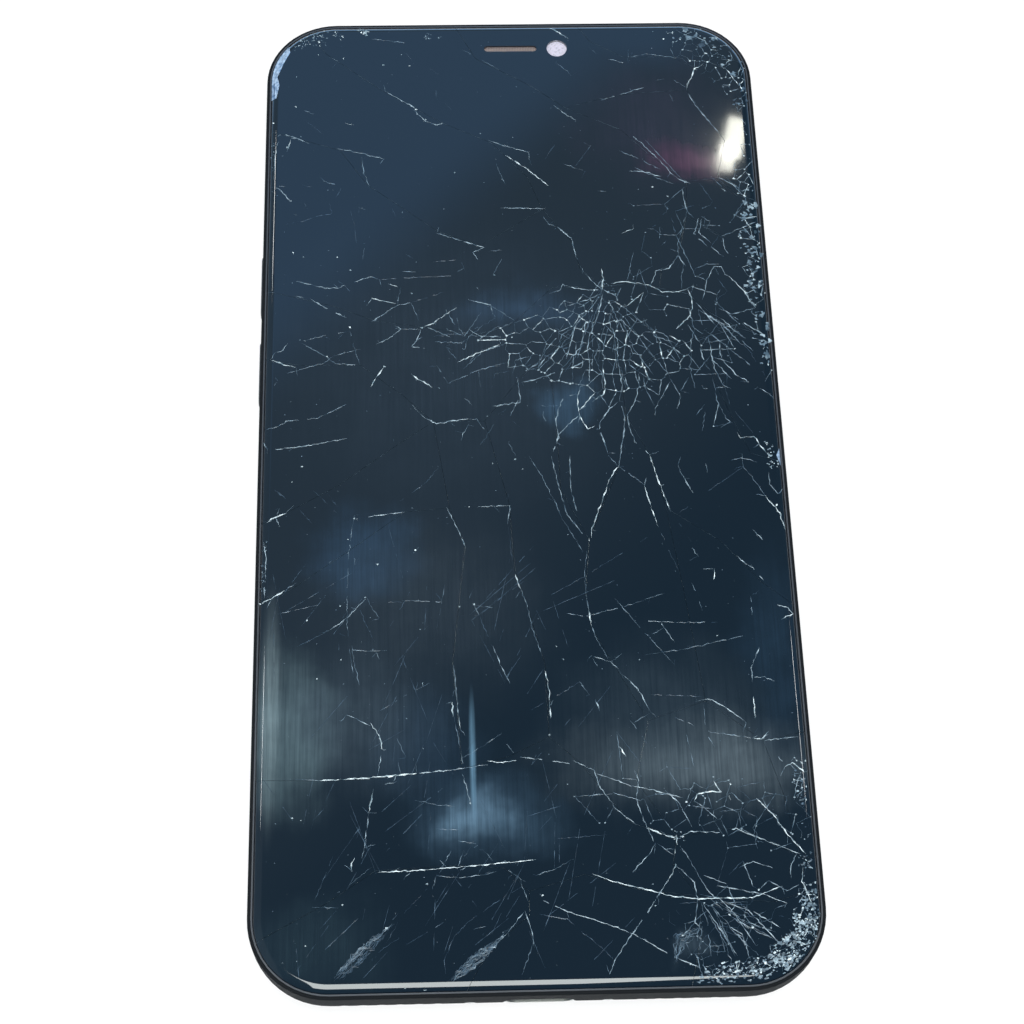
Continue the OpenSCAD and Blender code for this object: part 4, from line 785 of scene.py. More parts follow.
# %% Cracks at the bottom
BOTTOM = (
    (2, (-23.5, -36.5), (-20.6, -38)), (3, (-20.6, -37.6), (-19.4, -39.4), (-19.1, -41.2)),
    (2, (-19.2, -42), (-19.6, -44.4)), (3, (-20.2, -46.4), (-20.8, -49.6)),
    (2, (-20.8, -49.6), (-21.1, -52.2), (-21.3, -54)), (2, (-21.3, -54), (-21.6, -55.4)),
    (3, (-22.5, -55.2), (-22.9, -56), (-22.8, -57)), (1, (-29.2, -45), (-27, -45.2)),
    (3, (-27, -45.2), (-19.9, -44.9), (-14.7, -44.5)), (2, (-14.7, -44.5), (-9.9, -44.1), (-5.7, -43.5)),
    (3, (-5.8, -43), (-3.8, -43.3), (-2, -43)), (2, (-1.6, -42.6), (2, -43.1), (4.7, -43.6)),
    (3, (-19.6, -57.2), (-13.5, -57)), (3, (-13.5, -57), (-8.5, -56.7), (0, -56)),
    (1, (-24.6, -59.7), (-22.5, -58.2), (-20.4, -56.5)),
    (1, (-12.3, -57.8), (-9.5, -58.1), (-6.5, -57.8), (-5, -57.4)),
    (1, (-15, -48), (-12.2, -48.7), (-10, -48.9)), (0, (-12.4, -51.8), (-9, -52)),
    (1, (-8.8, -42.5), (-6.2, -41)), (1, (-6.2, -41), (-3.8, -39.3)),
    (0, (-4.2, -38.2), (-2.8, -38.1), (-3, -40)), (2, (-3.3, -40.8), (-2.4, -42)),
    (2, (-18.7, -45.9), (-17.3, -45.5)), (1, (-16, -42.4), (-17.2, -39.8)),
    (1, (-15.2, -41.6), (-15.1, -42.8)), (1, (-17, -43), (-16.8, -44.8)),
    (0, (-25.2, -55), (-26.4, -58), (-27.4, -60.5)), (1, (-24.5, -61.6), (-27.6, -61.4)),
    (1, (-6.6, -54.6), (-5.4, -56)), (1, (-4.5, -56.5), (-3, -57.6), (-1.4, -58.8)),
    (2, (-12.3, -57.6), (-12.9, -59.2)), (1, (-12, -57.4), (-10.4, -54.4)), (1, (-9.8, -57), (-9, -54.6)),
    (1, (-9.6, -53.4), (-7.4, -53.8)), (1, (-9.2, -55.6), (-7.2, -54)),
    (0, (-13.6, -59.4), (-16.8, -62.8), (-18.6, -66)), (2, (-1.9, -59.2), (-1.2, -61.2)),
    (2, (-1.6, -62.4), (-1.1, -64), (-0.7, -65.5), (-0.6, -67)),
    (1, (-0.7, -66.4), (-1.4, -68.4), (-2.2, -70.3)), (2, (-1.7, -62.6), (-3.8, -65.1), (-5, -66.2)),
    (0, (-1.9, -59.4), (-5.6, -61.6), (-8.6, -63.7), (-10.4, -65.5), (-11.6, -68.4), (-11.4, -70)),
    (1, (-8, -64.6), (-6.4, -64.3)), (1, (-20.2, -64.6), (-20, -65.4)), (0, (-17, -65.4), (-19.6, -67.2)),
    (2, (-18.6, -64), (-18.4, -64.5)), (1, (0, -58), (2.8, -57), (4.7, -56)),
    (2, (0.7, -61.2), (3.6, -62.6), (8.5, -64.3), (11.6, -65.6), (16.6, -68.6), (19.7, -70)),
    (0, (0.2, -62.9), (3.6, -63.6), (7.8, -67.4), (9, -68.6)),
    (2, (5.1, -43.2), (7.7, -44.6), (8.5, -47), (10.4, -49.8), (12.8, -51.8)),
    (2, (8, -45), (10.2, -45.8), (12.3, -46.7), (14.7, -47.2), (18.8, -48.4)),
    (1, (12.6, -37.9), (14.2, -40.3)), (1, (12.9, -38.4), (15.2, -37)), (3, (10.9, -41.2), (11.9, -42.8)),
    (2, (12.8, -44.6), (13.3, -46), (12.9, -48.4), (13.6, -51), (14.8, -54)),
    (3, (14, -52.2), (16.4, -53.3), (17.6, -53.5), (17.7, -54.5)),
    (2, (18.2, -53.4), (19.5, -52.8), (22.8, -53), (25.2, -52.5), (28.5, -54), (33, -56)),
    (2, (15, -54.2), (14.2, -55.5), (11.9, -57.9)), (1, (15.2, -54.3), (17.3, -55.8)),
    (3, (17.4, -55), (17.3, -57.2), (16.4, -58.8)),
    (2, (16.4, -58.8), (13.5, -63), (11.4, -65.7), (9.3, -68.6), (8.5, -70.5)),
    (2, (18, -54.6), (19, -56.2), (20.9, -60), (22, -61.4)),
    (2, (18, -57.7), (19.5, -59.3), (19.8, -61.5), (19.3, -64.3), (20.2, -65.5)),
    (3, (7, -58), (9.5, -59), (13.3, -60), (16.6, -61), (19.9, -61.4), (26.6, -61.4), (30.4, -60)),
    (0, (2.4, -53.4), (9, -53)), (2, (16.6, -47.4), (18.2, -49), (19, -50.8), (19.7, -52.2)),
    (3, (20.2, -48.9), (20.6, -48), (21.4, -47.7), (23.7, -47.7), (22.8, -46.3)),
    (2, (20.2, -48.9), (20.9, -49.3), (22.9, -51.2)), (3, (24.6, -48.2), (24.8, -48.8)),
    (1, (23.3, -50.3), (26.2, -50)), (3, (28, -48.6), (30, -50.8), (31.6, -53.4), (33.7, -56)),
    (3, (28.2, -40.7), (29.3, -40.8), (30.3, -39.8)), (2, (29.7, -41), (34, -40.6)),
    (2, (29.7, -41.5), (31.8, -43.9)), (1, (22.2, -36), (22.3, -39.9), (23.3, -41.8)),
    (1, (18.5, -37.7), (22.3, -39.6), (28.3, -40.7)), (3, (32, -44.6), (33, -44), (34.4, -45.3), (35, -45)),
    (2, (33.9, -45.5), (33.2, -47.2), (32.8, -49)), (3, (33.2, -57.7), (32.9, -59.5), (33.9, -62.2)),
    (2, (32.5, -56), (31.8, -57.2), (31.6, -59)), (2, (25.5, -57.4), (27, -56.8), (29.4, -57.7)),
    (2, (22.3, -59.8), (24.7, -60.3), (28, -61), (30.9, -62.2)),
    (2, (20.4, -62), (22.8, -66), (24.2, -68.6)), (1, (21.4, -62.2), (22.3, -63.8), (23.7, -68)),
    (2, (22.5, -61.4), (24.2, -63.3), (26.6, -67.4)), (2, (23.5, -62), (26, -63), (29.7, -67.4)),
    (2, (25.2, -62.4), (27.3, -63.6), (29.7, -65.2)),
)
BRIGHT_CRACKS = (BY_FIRST_HIT + NET_STRANDS + UPPER_RIGHT + UPPER_LEFT + MIDDLE_LEFT + LOWER_RIGHT
                 + LOWER_LEFT + BOTTOM)
print(len(BRIGHT_CRACKS), "stretches of crack that catch the light")

# %% [markdown]
# ## From a path to a ridge
#
# A path is walked in short steps. At each step the line wanders sideways and its width changes, both
# taken from smooth noise, so neighbours agree. Three points make a flat triangular section, and joining
# the sections gives a closed sliver whose two upper facets catch the light differently. The stronger
# cracks also get short side hairs, one strength fainter.

# %% Slivers
STRENGTH_WIDTH = (0.10, 0.14, 0.18, 0.23)     # mm across, from faint to white
LOST_ABOVE = (0.22, 0.3, 0.42, 0.6)           # the noise over which a stretch is lost, from faint to white
CRACK_STEP = 0.28                             # mm
SINK, LIFT = -0.01, 0.012                     # mm, a sliver's edges and its ridge, from the glass


def walk(path, step):
    """Points along a path about one step apart, corners kept."""
    spots = [Vector(path[0])]
    for a, b in zip(path, path[1:]):
        a, b = Vector(a), Vector(b)
        count = max(1, round((b - a).length / step))
        spots += [a.lerp(b, (i + 1) / count) for i in range(count)]
    return spots


def sliver(spots, widths, points, faces):
    """Adds one closed ridge along the spots, as wide at each as its width says."""
    first = len(points)
    for i, spot in enumerate(spots):
        along = (spots[min(i + 1, len(spots) - 1)] - spots[max(i - 1, 0)]).normalized()
        side = Vector((-along.y, along.x)) * widths[i] / 2
        height = on_glass(*spot)
        for x, y, up in ((*(spot - side), SINK), (*(spot + side * 0.2), LIFT), (*(spot + side), SINK)):
            points.append((x, y, height + up))
    for i in range(len(spots) - 1):
        here = first + 3 * i
        faces += [(here, here + 3, here + 4, here + 1), (here + 1, here + 4, here + 5, here + 2),
                  (here + 2, here + 5, here + 3, here)]
    faces += [(first, first + 1, first + 2), (len(points) - 1, len(points) - 2, len(points) - 3)]


print("a millimetre of crack is walked in", len(walk(((0, 0), (1, 0)), CRACK_STEP)) - 1, "steps")


# %% Draw a crack
def draw_crack(strength, path, chance, points, faces, kinds, wander=0.16, fades=True):
    """Adds the slivers of one crack: it wanders, swells, and breaks where it turns out of the light."""
    seed = chance.uniform(0, 500)
    spots = walk(path, CRACK_STEP)
    count = len(spots) - 1
    run, widths = [], []
    for i, spot in enumerate(spots):
        along = (spots[min(i + 1, count)] - spots[max(i - 1, 0)]).normalized()
        to_end = min(i, count - i)
        drift = noise.noise(Vector((seed, i * 0.55, 0))) * wander * min(1, 4 * to_end / max(count, 1) + 0.2)
        swell = 0.8 + 1.2 * noise.noise(Vector((seed, i * 0.33, 7)))
        ends = min(1, (to_end + 0.35) / 3)
        width = STRENGTH_WIDTH[strength] * swell * ends
        lost = fades and noise.noise(Vector((seed, i * 0.12, 31))) > LOST_ABOVE[strength]
        if not lost and from_edge(*spot) > 0.03 and in_glass(*spot):
            run.append(spot + Vector((-along.y, along.x)) * drift)
            widths.append(max(width, 0.04))
        if (lost or i == count) and len(run) > 1:
            before = len(faces)
            sliver(run, widths, points, faces)
            kinds += [strength] * (len(faces) - before)
        if lost:
            run, widths = [], []


trial = [], [], []
draw_crack(3, ((0, 0), (4, 0)), random.Random(1), *trial)
print("a bright crack 4 mm long has", len(trial[1]), "faces")

# %% All the bright cracks
HAIR_STEP = 2.2            # mm between places where a side hair may start
HAIR_SHARE = 0.3
crack_chance = random.Random(21)
crack_lists = crack_points, crack_faces, crack_kinds = [], [], []
for strength, *path in BRIGHT_CRACKS:
    draw_crack(strength, path, crack_chance, *crack_lists)
    for spot in walk(path, HAIR_STEP):
        if strength and crack_chance.random() < HAIR_SHARE:
            angle = crack_chance.uniform(0, math.tau)
            reach = crack_chance.uniform(0.4, 1.5)
            tip = (spot.x + reach * math.cos(angle), spot.y + reach * math.sin(angle))
            draw_crack(strength - 1, (spot, tip), crack_chance, *crack_lists)
bright_lines = make_piece("crack_slivers", crack_points, crack_faces, PAINTED_GLINT_FRACTURES, crack_kinds)

# %% [markdown]
# ## The fine net between the big cracks
#
# Round a hit the glass is crazed into cells, like a spider's web. Such a net is what a Voronoi diagram
# draws: seeds are scattered on rings round the hit, and the lines run where two seeds are equally far.
# Blender's Delaunay triangles give it: the middle of the circle round each triangle is a corner of the
# net, and corners of neighbouring triangles are joined. Along the rim, where there is no one hit, the
# seeds are strewn inside an outline instead. A few lines are left out, and the random numbers have a
# fixed seed.


# %% Net of cells
def circle_middle(a, b, c):
    """The middle of the circle through three points."""
    double = 2 * (a.x * (b.y - c.y) + b.x * (c.y - a.y) + c.x * (a.y - b.y))
    if abs(double) < 1e-6:
        return (a + b + c) / 3
    aa, bb, cc = a.length_squared, b.length_squared, c.length_squared
    return Vector(((aa * (b.y - c.y) + bb * (c.y - a.y) + cc * (a.y - b.y)) / double,
                   (aa * (c.x - b.x) + bb * (a.x - c.x) + cc * (b.x - a.x)) / double))


def net_lines(seeds, longest):
    """The lines of the net of cells round some seeds, leaving out any longer than that many millimetres."""
    spots, _, cells, _, _, _ = delaunay_2d_cdt(seeds, [], [], 0, 1e-5)
    middles = [circle_middle(*(spots[i] for i in cell)) for cell in cells]
    beside = {}
    for number, cell in enumerate(cells):
        for a, b in zip(cell, cell[1:] + cell[:1]):
            beside.setdefault(frozenset((a, b)), []).append(number)
    pairs = [pair for pair in beside.values() if len(pair) == 2]
    return [(middles[m], middles[n]) for m, n in pairs if (middles[m] - middles[n]).length < longest]


def ring_seeds(chance, centre, reach, turn, cell, jitter):
    """Seeds on rings round a hit, each moved a little. The cells grow outwards."""
    seeds, far, smallest = [], reach[0], cell
    while far < reach[1]:
        cell = smallest * (0.75 + 0.035 * far)
        count = max(2, round(math.radians(turn[1] - turn[0]) * far / (0.8 * cell)))
        for i in range(count):
            angle = math.radians(turn[0] + (turn[1] - turn[0]) * (i + chance.uniform(0, jitter)) / count)
            out = far + cell * chance.uniform(-jitter, jitter)
            seeds.append(Vector((centre[0] + out * math.cos(angle), centre[1] + out * math.sin(angle))))
        far += cell * 1.25
    return seeds


def reach_of(outline):
    """The lowest and highest x, and the lowest and highest y."""
    across, along = zip(*outline)
    return min(across), max(across), min(along), max(along)


def patch_seeds(chance, outline, cell):
    """Seeds strewn inside an outline, about one to each cell."""
    low_x, high_x, low_y, high_y = reach_of(outline)
    tries = round((high_x - low_x) * (high_y - low_y) / cell ** 2)
    spots = [Vector((chance.uniform(low_x, high_x), chance.uniform(low_y, high_y))) for _ in range(tries)]
    return [spot for spot in spots if inside(*spot, outline)]


trial_seeds = patch_seeds(random.Random(1), ((0, 0), (10, 0), (10, 10), (0, 10)), 2)
print(len(trial_seeds), "seeds make", len(net_lines(trial_seeds, 5)), "lines of net")

# %% Where the nets are
RING_NETS = (   # centre, reach and turn of the rings, cell size, share of lines kept, how they shine
    (FIRST_HIT, (2, 20), (200, 328), 1.5, 0.95, (1, 1, 2, 2, 3)),
    (FIRST_HIT, (3, 20), (-38, 8), 2.4, 0.7, (0, 1, 1, 2)),
    (FIRST_HIT, (3, 15), (8, 70), 3.0, 0.5, (0, 1, 1)),
    (FIRST_HIT, (12, 24), (150, 200), 3.4, 0.4, (0, 1)),
    (SECOND_HIT, (3, 13), (200, 430), 3.6, 0.4, (0, 1)),
    (LOW_HIT, (2, 12), (-20, 190), 2.6, 0.5, (0, 1, 1)),
    (LOW_HIT, (7, 18), (265, 345), 2.4, 0.6, (0, 1, 1, 2)),
)
PATCH_NETS = (  # outline, cell size, share of lines kept, how they shine
    (((35, 66), (35, 10), (32.4, 10), (31.4, 24), (31, 36), (31.6, 46), (33.2, 54), (31.6, 66)), 1.5, 0.8,
     (1, 2, 2, 3)),
    (((31, 45), (31, -6), (25, -2), (24, 14), (25, 30), (26, 44)), 3.2, 0.6, (0, 1, 1, 2)),
    (((35, 66), (34, 56), (30, 60), (24, 66), (20, 70), (28, 72), (33, 69)), 1.2, 0.75, (0, 1, 1, 2)),
    (((18, -71.6), (20, -69.4), (28, -67.6), (30.4, -65), (32, -60), (35, -58), (35, -66), (30, -71.5)),
     0.75, 0.9, (1, 1, 2, 2, 3)),
    (((31.6, -40), (35, -42), (35, -60), (32.2, -60), (32.8, -50)), 1.1, 0.75, (0, 1, 1, 2)),
    (((16, -52), (15, -47), (22, -44.5), (33.6, -46), (34, -57), (26, -57), (20, -54)), 2.5, 0.85,
     (0, 1, 1, 2)),
    (((14, -62), (20, -59), (29, -61), (32, -64), (28, -68), (19, -70)), 1.9, 0.7, (0, 1, 1)),
)
print(len(RING_NETS), "nets on rings and", len(PATCH_NETS), "in patches")

# %% Draw the nets
RING_JITTER = 0.38
LONGEST_LINE = 2.6         # times the size of a cell
web_chance = random.Random(33)
web_lists = web_points, web_faces, web_kinds = [], [], []
net_corners = []
nets = [(ring_seeds(web_chance, hit, reach, turn, cell, RING_JITTER), cell, share, shine, None)
        for hit, reach, turn, cell, share, shine in RING_NETS]
nets += [(patch_seeds(web_chance, outline, cell), cell, share, shine, outline)
         for outline, cell, share, shine in PATCH_NETS]
for seeds, cell, share, shine, outline in nets:
    for a, b in net_lines(seeds, cell * LONGEST_LINE):
        keep = web_chance.random() < share
        strength = web_chance.choice(shine)
        within = outline is None or inside(*a, outline) and inside(*b, outline)
        if keep and within and in_glass(*a) and in_glass(*b):
            draw_crack(strength, (a, b), web_chance, *web_lists, wander=0.12, fades=False)
            net_corners.append((a, strength))
print(len(net_corners), "lines in the nets")

# %% [markdown]
# ## Scuffs, fans and scratches
#
# Three more marks lie between the cracks. A scuff is a bundle of short strokes where the rim's end was
# dragged. A fan is a spray of fine rays from a hit, each starting and ending at its own distance. The
# faint scratches are straight and mostly run up and down, as a pocket makes them. All go into the same
# piece as the net.

# %% Scuffs
SMEARS = (      # start, bend and end of a scuff, its width in mm, how many strokes
    ((-25, -70.6), (-22, -67.6), (-17.6, -63.6), 1.5, 30),
    ((-11, -71), (-8, -68.6), (-3.4, -64.6), 1.2, 34),
    ((16.4, -69.4), (17.4, -66.4), (20.6, -64.8), 1.8, 20),
)
for start, bend, end, width, count in SMEARS:
    for _ in range(count):
        aside = Vector((0.6, -0.8)) * width * web_chance.uniform(-0.5, 0.5)
        middle = Vector(bend) + aside
        low = (Vector(start) + aside * 0.4).lerp(middle, web_chance.uniform(0, 0.7))
        high = (Vector(end) + aside * 0.2).lerp(middle, web_chance.uniform(0, 0.8))
        strength = web_chance.choice((0, 0, 1))
        draw_crack(strength, (low, middle, high), web_chance, *web_lists, wander=0.5)
print(len(SMEARS), "scuffs")


# %% Fans of rays
def polar(far, angle):
    """A step of that length in that direction."""
    return far * Vector((math.cos(angle), math.sin(angle)))


FANS = (        # where the rays start, how far out they begin and end, between which angles, how many
    (FIRST_HIT, (2, 17), (225, 320), 22),
    ((24, 24), (1, 16), (265, 345), 8),
    ((20, -60.5), (1, 12), (268, 340), 14),
    (FIRST_HIT, (15, 27), (190, 232), 9),
    (SECOND_HIT, (2, 12), (150, 345), 8),
)
for hit, (near, far), (low, high), count in FANS:
    for i in range(count):
        angle = math.radians(low + (high - low) * (i + web_chance.uniform(-0.6, 1.6)) / count)
        bow = angle + web_chance.uniform(-0.16, 0.16)
        begin = near + (far - near) * web_chance.uniform(0, 0.5)
        reach = begin + (far - begin) * web_chance.uniform(0.3, 1)
        ray = [Vector(hit) + polar(out, turn)
               for out, turn in ((begin, angle), ((begin + reach) / 2, bow), (reach, angle))]
        strength = web_chance.choice((0, 1, 1, 2))
        draw_crack(strength, ray, web_chance, *web_lists, wander=0.25)
print(len(FANS), "fans")

# %% Faint scratches
SCRATCHES = 90
for _ in range(SCRATCHES):
    spot = Vector((web_chance.uniform(-34, 8), web_chance.uniform(-71, -18)))
    angle = math.radians(web_chance.gauss(70, 28))
    tip = spot + polar(web_chance.uniform(2, 11), angle)
    draw_crack(0, (spot, tip), web_chance, *web_lists, wander=0.04)
web = make_piece("fine_crack_net", web_points, web_faces, PAINTED_GLINT_FRACTURES, web_kinds)

# %% [markdown]
# ## Crushed glass
#
# Along the right edge and at the corners the glass is crushed to grains that still sit in place. A grain
# is a small closed prism with three to five corners, tipped its own way. The zones are bands along the
# rim and a few outlines, and each says how many grains are tried, how large they are, and how often they
# shine.


# %% One grain
GRAIN_RISE = 0.014         # mm that its highest corner stands up
GRAIN_ROOT = 0.12          # mm that it reaches down into the glass


def close_prism(first, sides, faces):
    """Adds the faces of a prism whose upper points come first and whose lower points follow."""
    faces.append(tuple(range(first, first + sides)))
    faces.append(tuple(reversed(range(first + sides, first + 2 * sides))))
    for i in range(sides):
        j = (i + 1) % sides
        faces.append((first + j, first + i, first + sides + i, first + sides + j))


def grain(x, y, size, tip, chance, points, faces):
    """Adds one crushed grain, a tipped prism sunk into the glass, and gives the number of its faces."""
    corners = chance.randint(3, 5)
    first = len(points)
    turn = chance.uniform(0, math.tau)
    lean_x, lean_y = (math.tan(math.radians(chance.uniform(-tip, tip))) for _ in range(2))
    rim = []
    for i in range(corners):
        angle = turn + math.tau * (i + chance.uniform(-0.25, 0.25)) / corners
        rim.append((size / 2 * math.cos(angle), size / 2 * chance.uniform(0.5, 1) * math.sin(angle)))
    height = on_glass(x, y)
    rise = [lean_x * dx + lean_y * dy for dx, dy in rim]
    lower = max(rise) - GRAIN_RISE
    points += [(x + dx, y + dy, height + up - lower) for (dx, dy), up in zip(rim, rise)]
    points += [(x + dx, y + dy, height - GRAIN_ROOT) for dx, dy in rim]
    close_prism(first, corners, faces)
    return corners + 2


print("a grain can have", grain(0, 0, 0.5, 5, random.Random(1), [], []), "faces")

# %% Where the glass is crushed
CRUSHED = (       # outline, how many tries, the grains' size in mm, how they shine, how steeply they tip
    (((19, -71.6), (20.5, -70), (28, -68.6), (30.6, -66), (32, -62), (34.6, -60), (35, -66), (30, -71),
     (24, -72)), 1500, (0.3, 0.9), (0, 1, 1, 2, 2), 4),
    (((28, -68.6), (30.6, -65.8), (32.2, -62.4), (34.2, -62), (34.2, -66), (31, -70), (28.5, -70.6)), 1000,
     (0.25, 0.7), (1, 2, 2, 3), 5),
    (((32.2, -44), (33.4, -45), (34.6, -44.6), (34.4, -58), (33, -60), (32.6, -56), (33.6, -50)), 200,
     (0.2, 0.5), (0, 1, 2), 6),
    (((32.8, 12), (33.6, 20), (32.2, 26), (33, 32), (31.6, 36), (33.5, 42), (34.9, 46), (34.9, 12)), 300,
     (0.5, 1.5), (1, 1, 2, 2), 3),
    (((31, 56), (33, 58), (33.4, 62), (31, 65), (28, 68), (22, 70.6), (27, 71.8), (32, 69), (34.6, 65),
     (34.9, 56)), 380, (0.4, 1.5), (0, 1, 1, 2), 3),
    (((-31, 70.8), (-30, 68.4), (-25.5, 68.6), (-24.5, 69.8), (-25, 71), (-28, 71.6)), 190, (0.2, 0.55),
     (1, 1, 2, 3), 8),
    (((-32.5, 68.4), (-31.5, 67.6), (-29.8, 68.6), (-30.4, 70)), 60, (0.2, 0.5), (1, 2, 3), 8),
    (((-22.8, 71.6), (-21.2, 70.2), (-20.6, 70.6), (-20.8, 72), (-22, 72)), 90, (0.2, 0.5), (3, 3, 2), 5),
    (((-13, 70.8), (-12.4, 69.4), (-11.8, 69.6), (-11.4, 70.6)), 26, (0.2, 0.4), (1, 2), 5),
    (((-10.8, 69.9), (-9.2, 70.6), (-9, 70.1), (-10.6, 69.6)), 16, (0.2, 0.35), (1, 2), 5),
    (((21.4, 70.8), (24.8, 70.8), (24.8, 70.2), (21.4, 70.2)), 30, (0.15, 0.35), (1, 2, 3), 5),
    (((32.8, 1.8), (33.4, 0.4), (33, -1.4), (33.4, -2.6), (34.6, -2), (34.4, 1.4)), 70, (0.2, 0.5),
     (2, 3, 3), 6),
    (((10.8, 27.6), (13.6, 27.6), (14, 25), (11.4, 24.6), (10.6, 26)), 44, (0.2, 0.5), (1, 2, 3), 8),
    (((16.6, -52.6), (18.6, -52.8), (18.8, -54.6), (17, -55)), 34, (0.2, 0.45), (1, 2, 3), 8),
    (((-35, -19.4), (-34.2, -19.6), (-34.2, -12), (-34.8, -11)), 60, (0.15, 0.4), (1, 1, 2), 6),
    (((-35, 43), (-34.2, 43), (-34.2, 52.5), (-35, 52.5)), 50, (0.15, 0.35), (0, 1, 2), 6),
)
print(len(CRUSHED), "crushed places")

# %% Strew the grains
grain_chance = random.Random(8)
grain_points, grain_faces, grain_kinds = [], [], []
for outline, count, sizes, shine, tip in CRUSHED:
    low_x, high_x, low_y, high_y = reach_of(outline)
    for _ in range(count):
        x, y = grain_chance.uniform(low_x, high_x), grain_chance.uniform(low_y, high_y)
        clump = noise.noise(Vector((0.7 * x, 0.7 * y, 3))) + 0.35 > grain_chance.random() * 0.6
        if clump and inside(x, y, outline) and from_edge(x, y) > 0.15 and in_glass(x, y):
            size = sizes[0] + (sizes[1] - sizes[0]) * grain_chance.random() ** 2
            sides = grain(x, y, size, tip, grain_chance, grain_points, grain_faces)
            grain_kinds += [grain_chance.choice(shine)] * sides
print(len(grain_faces), "faces of grains so far")

# %% Where a splinter flashes
SPECKS = (        # x, y and size in mm
    (32, 34.5, 0.7), (32, 32.7, 0.5), (34.4, 33.2, 0.6), (33.5, 32.4, 0.5), (33.6, 31.3, 0.6),
    (33.2, 29, 0.6), (34.2, 27, 0.6), (34.9, 25.4, 0.5), (34, 16.3, 0.6), (34.4, 13.7, 0.5),
    (22.1, 41.5, 0.6), (20, 43.1, 0.4), (34.2, 59.8, 0.7), (-23.5, 20.4, 0.7), (-5.4, 26.6, 0.6),
    (-0.8, 18.5, 0.6), (-11, 10.7, 0.7), (-18.6, 14.2, 0.6), (-26.6, 15.8, 0.5), (-31.5, 32.7, 0.5),
    (-30, 32, 0.4), (-25.2, 31.9, 0.4), (-23.4, 29.7, 0.4), (-14.8, 25.8, 0.4), (-3.1, 28.6, 0.4),
    (-32, 5.9, 0.5), (-13.4, 20.3, 0.6), (3.5, -27.6, 0.5), (4.4, -29.4, 0.4), (24.7, -26.5, 0.5),
    (33.8, -7.8, 0.8), (8.4, -12.5, 0.6), (0.7, -60.6, 0.5), (9.7, -64.7, 0.5), (18.5, -69.5, 0.5),
    (2.3, -39.7, 0.5), (33.8, -56.7, 0.7), (29.3, -40.8, 0.6), (-0.3, -1.8, 0.9), (-1, -0.4, 0.5),
    (-4.1, -1, 0.4), (-29.8, -1, 0.5), (-31, -3.3, 0.3), (-19.6, -15.5, 0.5), (-14.6, -13.6, 0.4),
    (-21.2, -20.3, 0.4), (-28.8, -23.4, 0.4), (-24.5, -21.4, 0.4), (-24.4, -29, 0.4), (-27.5, -31.5, 0.4),
    (-7.4, -7.4, 0.3), (-7, -21.5, 0.4), (-8.9, -21.8, 0.4), (-22.7, -8.8, 0.5), (-23.5, -11.8, 0.4),
    (-8.1, -48.6, 0.5), (-30.4, -50, 0.4), (-29.2, -50.4, 0.4), (-34.5, 54.9, 0.9), (-31.5, 57.6, 0.6),
    (-28.1, 67, 0.6), (-18.6, 65, 0.5), (-14.8, 64.8, 0.4), (-24.6, 66.2, 0.4), (-8.4, 45.9, 0.4),
    (-13.9, 57, 0.5), (-12.5, 55.2, 0.5), (-10.2, 54.5, 0.5), (-32.5, 50.6, 0.6), (-32, 41.4, 0.5),
    (-28.4, -66.2, 0.4), (-5, -66.2, 0.6), (-18.6, -64.2, 0.5), (-24, -61.2, 0.3), (-34.9, -20.8, 0.7),
    (-13.6, -58.8, 0.4), (-14, -71.8, 0.5), (-16.4, -71.6, 0.3),
)
print(len(SPECKS), "splinters")

# %% Grains on the net's corners, and the splinters
CORNER_SHARE = 0.6
# Grains at the net's corners take a painted glint one step brighter than their line; the splinters below
# take the whitest painted glint.
for corner, strength in net_corners:
    if strength and grain_chance.random() < CORNER_SHARE:
        sides = grain(*corner, 0.18 + 0.08 * strength, 4, grain_chance, grain_points, grain_faces)
        grain_kinds += [min(strength + 1, 3)] * sides
for x, y, size in SPECKS:
    sides = grain(x, y, size * 0.8, 6, grain_chance, grain_points, grain_faces)
    grain_kinds += [3] * sides
crushed = make_piece("crushed_grains", grain_points, grain_faces, PAINTED_GLINT_FRACTURES, grain_kinds)

# %% Dust
DUST = 520
dust_points, dust_faces, dust_kinds = [], [], []
for _ in range(DUST):
    x, y = grain_chance.uniform(-34, 34), grain_chance.uniform(-71, 71)
    if in_glass(x, y) and from_edge(x, y) > 0.4:
        size = 0.08 + 0.16 * grain_chance.random() ** 3
        sides = grain(x, y, size, 4, grain_chance, dust_points, dust_faces)
        # Each speck of dust takes one of the fainter painted glints.
        dust_kinds += [grain_chance.choice((0, 0, 1, 1, 2))] * sides
dust = make_piece("dust_and_splinters", dust_points, dust_faces, PAINTED_GLINT_FRACTURES, dust_kinds)

# %% [markdown]
# ## The earpiece's mesh and the camera's window
#
# The slot's mesh is woven from steel wire about 0.1 mm thick. Wires that run one way pass over and under
# the wires that cross them, so each is a tube along a small wave, and neighbours start half a wave apart.
# The camera's window is a clear disc with a pale foam ring behind it, set in the dark mask. The foam is
# built as a disc, because it fills the view through the window.


# %% Woven wires
def wire(path, radius, points, faces, sides=5):
    """Adds one closed tube along a path of points."""
    first = len(points)
    for i, spot in enumerate(path):
        along = (path[min(i + 1, len(path) - 1)] - path[max(i - 1, 0)]).normalized()
        across = along.cross(Vector((0, 0, 1))).normalized()
        up = across.cross(along)
        for k in range(sides):
            angle = math.tau * k / sides
            points.append(spot + radius * (math.cos(angle) * across + math.sin(angle) * up))
    for i in range(len(path) - 1):
        for k in range(sides):
            here, beside = first + i * sides + k, first + i * sides + (k + 1) % sides
            faces.append((here, beside, beside + sides, here + sides))
    faces.append(tuple(reversed(range(first, first + sides))))
    faces.append(tuple(range(len(points) - sides, len(points))))


trial = [], []
wire([Vector((0, 0, 0)), Vector((1, 0, 0))], 0.1, *trial)
print("a straight wire has", len(trial[1]), "faces")

